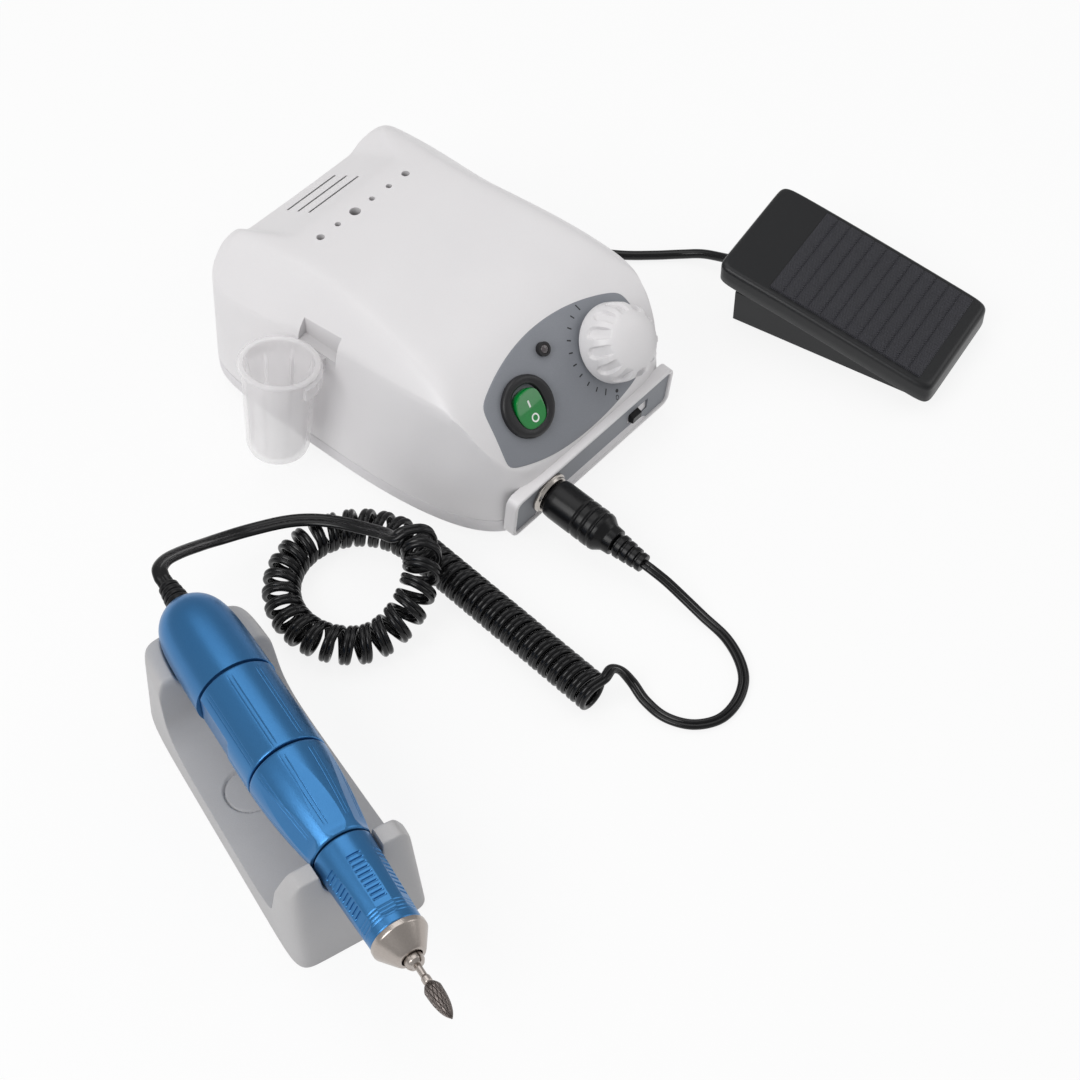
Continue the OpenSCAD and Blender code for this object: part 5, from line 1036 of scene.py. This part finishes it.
def socket_and_plug():
    """Nickel socket ring, and the grooved plug that sits in it with its ribbed boot; all turned."""
    socket = [[0, 0.1], [8.6, 0.1], [8.6, 1.2], [7.9, 1.6], [7.6, 2.6], [6.3, 2.6], [6.0, 1.9],
              [0, 1.9]]
    piece("socket_ring", [lathe(moved(ON_STRIP, JACK_X, 0), rounded(socket, 0.3), 72)], "console",
          CHROME, ("motor_socket",))
    grooves = repeated([[8.0, 14], [7.5, 14.4], [7.5, 15], [8.0, 15.4]], [0, 4], 3)
    body = [[0, 0], [6.6, 0], [7.8, 1.6], [8.0, 4], *grooves, [7.7, 25], [6.3, 27], [5.7, 28],
            [5.4, 31.4], [0, 32]]
    ribs = repeated([[3.9, 0], [3.9, 0.9], [4.8, 1.1], [4.75, 3.2]],
                    [[-0.32, 3.25], [-0.32, 3.25], [-0.35, 3.25], [-0.35, 3.25]], 4)
    grip = [[0, 0], *ribs, [2.4, 13.05], [0, 13.1]]
    plug = lathe(moved(ON_STRIP, JACK_X, 0, PLUG_Z), rounded(body, 0.35), 72)
    boot = lathe(moved(ON_STRIP, JACK_X, 0, BOOT_Z), rounded(grip, 0.2), 48)
    piece("lead_plug", [plug, boot], "console", GLOSS_BLACK,
          ("motor_plug", "plug_boot"))


def cup():
    """Clear tapered cup, turned, with a rolled lip and ribs inside."""
    height, foot_r, flare, wall_t, ribs, rib_deep = 44, 12, 2.6, 1.3, 8, 1.4

    def radius(z):
        """Outer radius: a straight taper."""
        return foot_r + flare * z / height

    wall = [[0, 0.7], [7.5, 0.1], [9.6, 0.5], [11.4, 1.8], [radius(4.2), 4.2],
            [radius(42.3), 42.3], [15.7, 42.6], [15.8, 43.3], [15.4, height], [13.35, height],
            [radius(5) - wall_t, 5.2], [9.4, 2.6], [7.4, 2.0], [0, 2.4]]

    def ribbed(r, z, angle):
        """The inner wall drawn in at each rib, which eases in at the foot and out below the lip."""
        off = np.abs(off_spoke(angle, ribs)) * 11.5
        bare = radius(z) - wall_t
        rib = rib_deep * ease((0.8 - off) / 0.5) * ease((z - 5.5) / 2) * ease((38 - z) / 3)
        return np.where(np.abs(r - bare) < 0.5, r - rib, r + 0 * angle)

    piece("clear_cup", [lathe(ON_CUP, dense(rounded(wall, 0.8), 2.0), 256, ribbed)], "cup", CLEAR,
          ("bur_cup",))


housing()
tray()
front_panel()
dial_marks()
switch_ring()
rocker_cap()
speed_knob()
jack_strip()
socket_and_plug()
cup()


# Pedal

TREADLE_HALF_W, TREADLE_HALF_L, TREADLE_POWER = 28.5, 48.5, 18
TOE_Z, KINK_Y, KINK_Z, HEEL_RISE = 14.0, 29.5, 31.0, 3.0


def smooth_top(y):
    """Treadle's top line: the soft minimum of two slopes that meet at the kink."""
    long_slope = TOE_Z + (KINK_Z - TOE_Z) * (y + TREADLE_HALF_L) / (KINK_Y + TREADLE_HALF_L)
    heel_slope = KINK_Z + HEEL_RISE * (y - KINK_Y) / (TREADLE_HALF_L - KINK_Y)
    return soft_min(0.9, long_slope, heel_slope)


def treadle():
    """Rounded tray upside down: a top over a grid pressed into a rounded plan, then two walls.

    The plan is |x / half width|^18 + |y / half length|^18 = 1, and the top's edge is a quarter
    circle.
    """
    edge_r, wall, roof_low = 2.2, 2.5, -3.2
    across, along, ring = pressed(*sine_grid(81, 161), TREADLE_POWER)
    ring = np.maximum(ring, 1e-6)
    side = (across / ring) ** TREADLE_POWER
    x, y = TREADLE_HALF_W * across, TREADLE_HALF_L * along
    inwards = (1 - ring) * (TREADLE_HALF_W * side + TREADLE_HALF_L * (1 - side))
    inset = np.clip(inwards, 0, edge_r)
    z = smooth_top(y) - edge_r + np.sqrt(edge_r ** 2 - (edge_r - inset) ** 2)
    layers = [(0.0, -edge_r), (0.0, -5.0), (0.0, -8.4), (0.3, -8.9), (2.0, -9.0), (wall, -8.6),
              (wall, roof_low)]
    layers += [(wall, roof_low, share) for share in np.linspace(0.97, 0, 16)]
    outline = rim_of(np.stack([x, y], axis=-1))
    walls = plate(ON_PEDAL, outline, layers, lambda x, y: smooth_top(y))
    top = in_frame(ON_PEDAL, x, y, z)
    piece("treadle_shell", [(top, False, False), (walls[0][::-1], True, False)], "foot_plate",
          PEDAL, ("treadle",), sharp=50)


def foot_mat():
    """Ribbed mat: bands across the treadle, each a low pillow, in a fine thread texture."""
    start, stop, half, bands, per_band = -42.5, 26.5, 25.5, 12, 14
    sunk, thick, swollen, edge_w = 0.5, 0.6, 0.75, 0.6
    ys = np.linspace(start, stop, bands * per_band + 1)
    band = np.mod((ys - start) / (stop - start) * bands, 1)
    swell = swollen * (1 - np.abs(2 * band - 1) ** 6)
    xs = np.concatenate([[-half, -half + 0.15], np.linspace(-half + edge_w, half - edge_w, 40),
                         [half - 0.15, half]])
    edge = ease((half - np.abs(xs)) / edge_w)
    x, y = np.meshgrid(xs, ys)
    z = smooth_top(y) - sunk + (thick + swell[:, None]) * edge[None]
    z[[0, -1]] = smooth_top(y[[0, -1]]) - sunk
    made = piece("foot_mat", [(in_frame(ON_PEDAL, x, y, z), False, False)], "foot_plate", MAT,
                 ("treadle_mat",), sharp=60)
    lay = made.data.uv_layers.new(name="lay")
    corner = np.empty(len(made.data.loops), np.int32)
    made.data.loops.foreach_get("vertex_index", corner)
    flat = np.stack([x.ravel(), y.ravel()], axis=-1)[corner] * MM
    lay.data.foreach_set("uv", flat.ravel())


def return_spring():
    """A helix of round wire from the pedal's base up to the treadle."""
    turns, per_turn, coil_r, wire_r, at_y, low, high = 6, 28, 5.0, 0.7, 22.5, 6.3, 24.7
    u = np.linspace(0, 1, turns * per_turn + 1)
    a = TAU * turns * u
    path = in_frame(ON_PEDAL, coil_r * np.cos(a), at_y + coil_r * np.sin(a),
                    low + (high - low) * u)
    upright = np.tile([0.0, 0.0, 1.0], (len(path), 1))
    made = piece("return_spring", [tube(path, upright, oval(wire_r, wire_r, n=12))], None, STEEL,
                 ("pedal_spring",), sharp=75)
    metres(in_frame(ON_PEDAL, 0, at_y, low))
    metres(in_frame(ON_PEDAL, 0, at_y, high))
    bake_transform(made)


treadle()
foot_mat()
return_spring()


# Handpiece and cradle

CAP_END, RING_START, RING_L, SLEEVE_R, RING_TAPER = 42, 79, 37, 14.75, 3.95
LINE_PAIRS, LINE_DEEP, FLATS = 9, 0.14, 6
GRIP_START, GRIP_L, GRIP_R, GRIP_TAPER = 116.4, 35.3, 10.72, 1.3
HEAD_Z, HEAD_L = 171.2, 14


def hand_radius(t):
    """Radius along the handpiece: a cap that swells as an exponential, then a power's taper."""
    cap = 15 - 0.02 * (CAP_END - t) - 7.6 * np.exp(-np.maximum(t, 0) / 5.2)
    ring = SLEEVE_R - RING_TAPER * np.clip((t - RING_START) / RING_L, 0, 1) ** 1.7
    return np.where(t < CAP_END, cap, ring)


def cradle():
    """Height field over a rounded plan: floor, back rest and yoke in a soft maximum, less a trough.

    The plan is the square grid pressed to |x|^p + |t|^p = 1, with rounder corners at the back,
    and spread to the cradle's widths. The sides come up a steep skirt, the trough is the
    handpiece's own radius with some play, and an oval is let into the floor.
    """
    long, back_half, wider = 127, 23, 2.5
    rest_end, rest_top, yoke_start, yoke_end, yoke_top = 23, 36, 115, 124.7, 44
    floor_z, fillet, play, trough_steep, skirt_steep = 9, 5.5, 0.45, 14, 64 * 9
    plaque_at, plaque_half, plaque_r, groove = 60, 8, 9.5, 0.6
    gu, gv = sine_grid(181, 361)
    across, along, ring = pressed(gu, gv, np.where(gv > 0, 13.0, 7.0))
    t = long / 2 + long / 2 * along
    half = back_half + wider * t / long
    x = across * half
    rest = soft_min(0.5, rest_top + 0 * t, rest_top + (rest_end - t) * 5, rest_top + t * 9)
    yoke = soft_min(0.5, yoke_top + 0 * t, yoke_top + (t - yoke_start) * 4.5,
                    yoke_top + (yoke_end - t) * 14)
    sides = soft_min(0.5, yoke_top + 0 * x, 28 + (half - np.abs(x)) * 2.6)
    floor = (floor_z + 18 * np.exp(-np.abs(t - rest_end) / fillet)
             + 16 * np.exp(-np.abs(t - yoke_start) / fillet))
    raised = soft_min(0.6, soft_max(0.6, floor, rest, yoke), sides)
    body_r = hand_radius(t) + play
    trough = HAND_Z - np.sqrt(np.maximum(0, body_r ** 2 - x ** 2))
    trough = trough + np.maximum(0, np.abs(x) - body_r) * trough_steep
    z = soft_min(0.7, soft_min(0.9, raised, trough), (1 - ring) * skirt_steep)
    plaque = plaque_r - np.hypot(np.maximum(np.abs(x) - plaque_half, 0), t - plaque_at)
    z = z - groove * ease(plaque / groove) - groove * ease(1 - np.abs(plaque - groove) / groove)
    z = np.where(ring > 0.9999, 0.0, np.maximum(z, 0.02))
    edge = rim_of(np.stack([x, -t], axis=-1))
    middle = np.tile(edge.mean(axis=0), (len(edge), 1))
    top = in_frame(ON_CRADLE, x, -t, z)[:, ::-1]
    foot = rings_of(ON_CRADLE, [(edge, 0.0), (middle, 0.0)])
    piece("cradle_rest", [(top, False, False), (foot, True, False)], "console", CRADLE,
          ("cradle",), sharp=60)


def turned_line(z):
    """Profile points on the handpiece's own radius."""
    return np.stack([hand_radius(z), z], axis=-1).tolist()


def line_pairs(angle, apart, width):
    """Share of two thin lines cut beside each other at evenly spaced angles."""
    off = np.mod((angle - np.pi / LINE_PAIRS) * LINE_PAIRS / TAU + 0.5, 1) - 0.5
    return ease(1 - np.abs(np.abs(off * TAU / LINE_PAIRS) - apart) / width)


def rear_cap():
    """Cap turned to the handpiece's radius, closer points where it swells, stepped at its joint."""
    z = np.array([0.3, 0.8, 1.4, 2, 2.8, 3.8, 5, 6.5, 8.5, 11, 14, 18, 24, 32, 38, 41.2, 41.5])
    cap = [[3.95, 0.0], *turned_line(z), [14.4, 41.6], [9.0, 41.6]]
    piece("cap_skin", [lathe(ON_HAND, cap, 160)], "handpiece", BLUE, ("rear_cap",))


def motor_sleeve():
    """Turned sleeve with two flats, and pairs of fine lines along it."""
    def flattened(r, z, angle):
        """The lesser of the lined radius and the flats, which run out past their end."""
        flat = 13.4 / np.maximum(np.abs(np.cos(angle)), 0.3) + 3 * ease((z - 62.4) / 1.8)
        line = line_pairs(angle, 0.05, 0.016) * ease((z - 44.5) / 1.5) * ease((77.5 - z) / 1.5)
        return np.where(r > 14, np.minimum(r - LINE_DEEP * line, flat), r + 0 * angle)

    sleeve = [[9.0, 42.4], [14.3, 42.4], [14.65, 42.55], [SLEEVE_R, 42.9], [SLEEVE_R, 78.1],
              [14.65, 78.4], [14.3, 78.6], [9.0, 78.6]]
    piece("sleeve_skin", [lathe(ON_HAND, dense(sleeve, 0.9), 720, flattened)], "handpiece", BLUE,
          ("motor_sleeve",))


def chuck_ring():
    """Tapered ring turned to the handpiece's radius, with flats that ease in, and line pairs."""
    start, stop = 79.4, 115.6

    def flattened(r, z, angle):
        """The lesser of r and each flat's distance over the cosine of the angle off it."""
        u = np.clip((z - start) / 36.2, 0, 1)
        cut = 0.75 * ease((u - 0.1) / 0.7) * ease((1.02 - u) / 0.12)
        flat = (hand_radius(z) - cut) / np.cos(off_spoke(angle, FLATS))
        line = line_pairs(angle, 0.055, 0.017) * ease((z - 81.5) / 1.5) * ease((111 - z) / 1.5)
        return np.where(r > 9.6, np.minimum(r, flat) - LINE_DEEP * line, r + 0 * angle)

    ring = [[9.3, start], [14.3, start], [14.6, 79.6], *turned_line(np.linspace(80, 115.2, 52)),
            [10.5, stop], [9.3, stop]]
    piece("chuck_skin", [lathe(ON_HAND, ring, 720, flattened)], "chuck", BLUE,
          ("chuck_ring",))


def nose():
    """Tapered grip with flats, slots across them and rings at its end, and the steel cone."""
    def taper(z):
        """Radius of the grip: a straight taper."""
        return GRIP_R - GRIP_TAPER * (z - GRIP_START) / GRIP_L

    def slotted(r, z, angle):
        """The lesser of r and the flats, less slots and rings that follow cosines along z."""
        off = off_spoke(angle, FLATS)
        flat = (taper(z) - 0.42 * ease((z - 123) / 9) * ease((149 - z) / 2)) / np.cos(off)
        slot = ease((np.cos((z - 124.4) * TAU / 1.9) - 0.3) / 0.4) * (z > 124) * (z < 142.6)
        slot = slot * ease((0.26 - np.abs(off)) / 0.05)
        rings = ease((np.cos((z - 144.6) * TAU / 1.3) - 0.25) / 0.4) * (z > 144) * (z < 149.4)
        cut = np.minimum(r, flat) - 0.5 * slot - 0.16 * rings
        return np.where(r > 9.0, cut, r + 0 * angle)

    z = np.linspace(116.9, 151.29, 182)
    grip = [[8.2, GRIP_START], [10.3, GRIP_START], [10.6, 116.5],
            *np.stack([taper(z), z], axis=-1).tolist(), [9.2, 151.7], [7.8, 151.7]]
    piece("grip_skin", [lathe(ON_HAND, grip, 300, slotted)], "handpiece", BLUE,
          ("nose_grip",))
    cone = [[7.7, 151.8], [9.9, 151.8], [9.9, 153.8], [5.6, 160.2], [4.9, 161], [3.75, 161],
            [3.75, 157]]
    piece("nose_skin", [lathe(ON_HAND, rounded(cone, 0.35), 120)], "handpiece", STEEL,
          ("nose_cone",))


def collet():
    """Turned jaws with three slits cut in at the front."""
    def split(r, z, angle):
        """The radius drawn in at each slit."""
        cut = ease((0.09 - np.abs(off_spoke(angle, 3))) / 0.03)
        return np.where((r > 1.6) & (z > 155), r - 0.7 * cut, r + 0 * angle)

    jaws = [[1.25, 130], [3.2, 156], [3.3, 163.0], [2.5, 164.2], [1.3, 164.2]]
    piece("collet_skin", [lathe(ON_HAND, dense(rounded(jaws, 0.3), 1.0), 120, split)], "collet",
          STEEL, ("collet",))


def cutter():
    """Flame-shaped head, a power curve with crossed spiral flutes, on a stepped shank."""
    def fluted(r, z, angle):
        """The radius less two sets of grooves, each a sine of the angle and the way along."""
        along = (z - HEAD_Z) / HEAD_L
        one = np.abs(np.sin(7 * angle + 4.6 * along * np.pi / 2))
        other = np.abs(np.sin(7 * angle - 8.4 * along * np.pi / 2))
        cut = ease((0.45 - one) / 0.45) + 0.8 * ease((0.36 - other) / 0.36)
        return r - 0.3 * cut * np.minimum(1, r / 2) * (z > 171.3)

    u = np.linspace(0, 1, 80)
    neck = np.minimum(1, 0.45 + (u / 0.16) ** 0.6 * 0.55)
    flame = np.stack([np.maximum(0.3, 3 * (1 - u ** 3.2) ** 0.75 * neck), HEAD_Z + HEAD_L * u],
                     axis=-1)
    piece("cutter_head", [lathe(ON_HAND, flame, 240, fluted)], "bur", BUR_STEEL,
          ("bur",), sharp=60)
    shank = [[0, 138], [1.175, 138], [1.175, 168.2], [1.6, 169], [1.6, 170.8], [1.3, 171.3],
             [0, 171.3]]
    piece("cutter_shank", [lathe(ON_HAND, rounded(shank, 0.2), 48)], "bur", STEEL)


def gland():
    """Ribbed gland that narrows along the lead."""
    ribs = repeated([[4.7, -1.6], [4.7, -3.1], [3.9, -3.4], [3.9, -4.0]],
                    [[-0.3, -2.5], [-0.3, -2.5], [-0.28, -2.5], [-0.28, -2.5]], 4)
    profile = [[0, 2.5], [5.0, 2.5], [5.0, 2.0], [4.7, 2.0], *ribs, [0, -12.1]][::-1]
    piece("gland_skin", [lathe(ON_HAND, rounded(profile, 0.25), 48)], "handpiece", GLOSS_BLACK,
          ("handpiece_gland",))


cradle()
rear_cap()
motor_sleeve()
chuck_ring()
nose()
collet()
cutter()
gland()


# Finishes of the solids that stay

KEPT = ((BLACK, "pilot_lamp_bezel direction_switch pedal_socket mains_inlet fuse_holder"),
        (BLACK, "pedal_switch pedal_pin"), (LAMP, "pilot_lamp"), (CORE, "transformer_core"),
        (ALLOY, "speed_pot heat_sink motor_can"), (COPPER, "transformer_coil rotor commutator"),
        (STEEL, "pot_shaft base_screws bearings spindle"), (BOARD, "circuit_board"),
        (GLOSS_BLACK, "direction_slider pedal_gland cord_tie"), (SLEEVED, "capacitors"),
        (RUBBER, "unit_feet pedal_feet"), (CLEAR, "cup_bracket"), (CARBON, "brushes"),
        (PEDAL, "pedal_base pedal_bottom"))
for paint, names in KEPT:
    for name in names.split():
        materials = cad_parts[name].data.materials
        materials.clear()
        materials.append(paint)
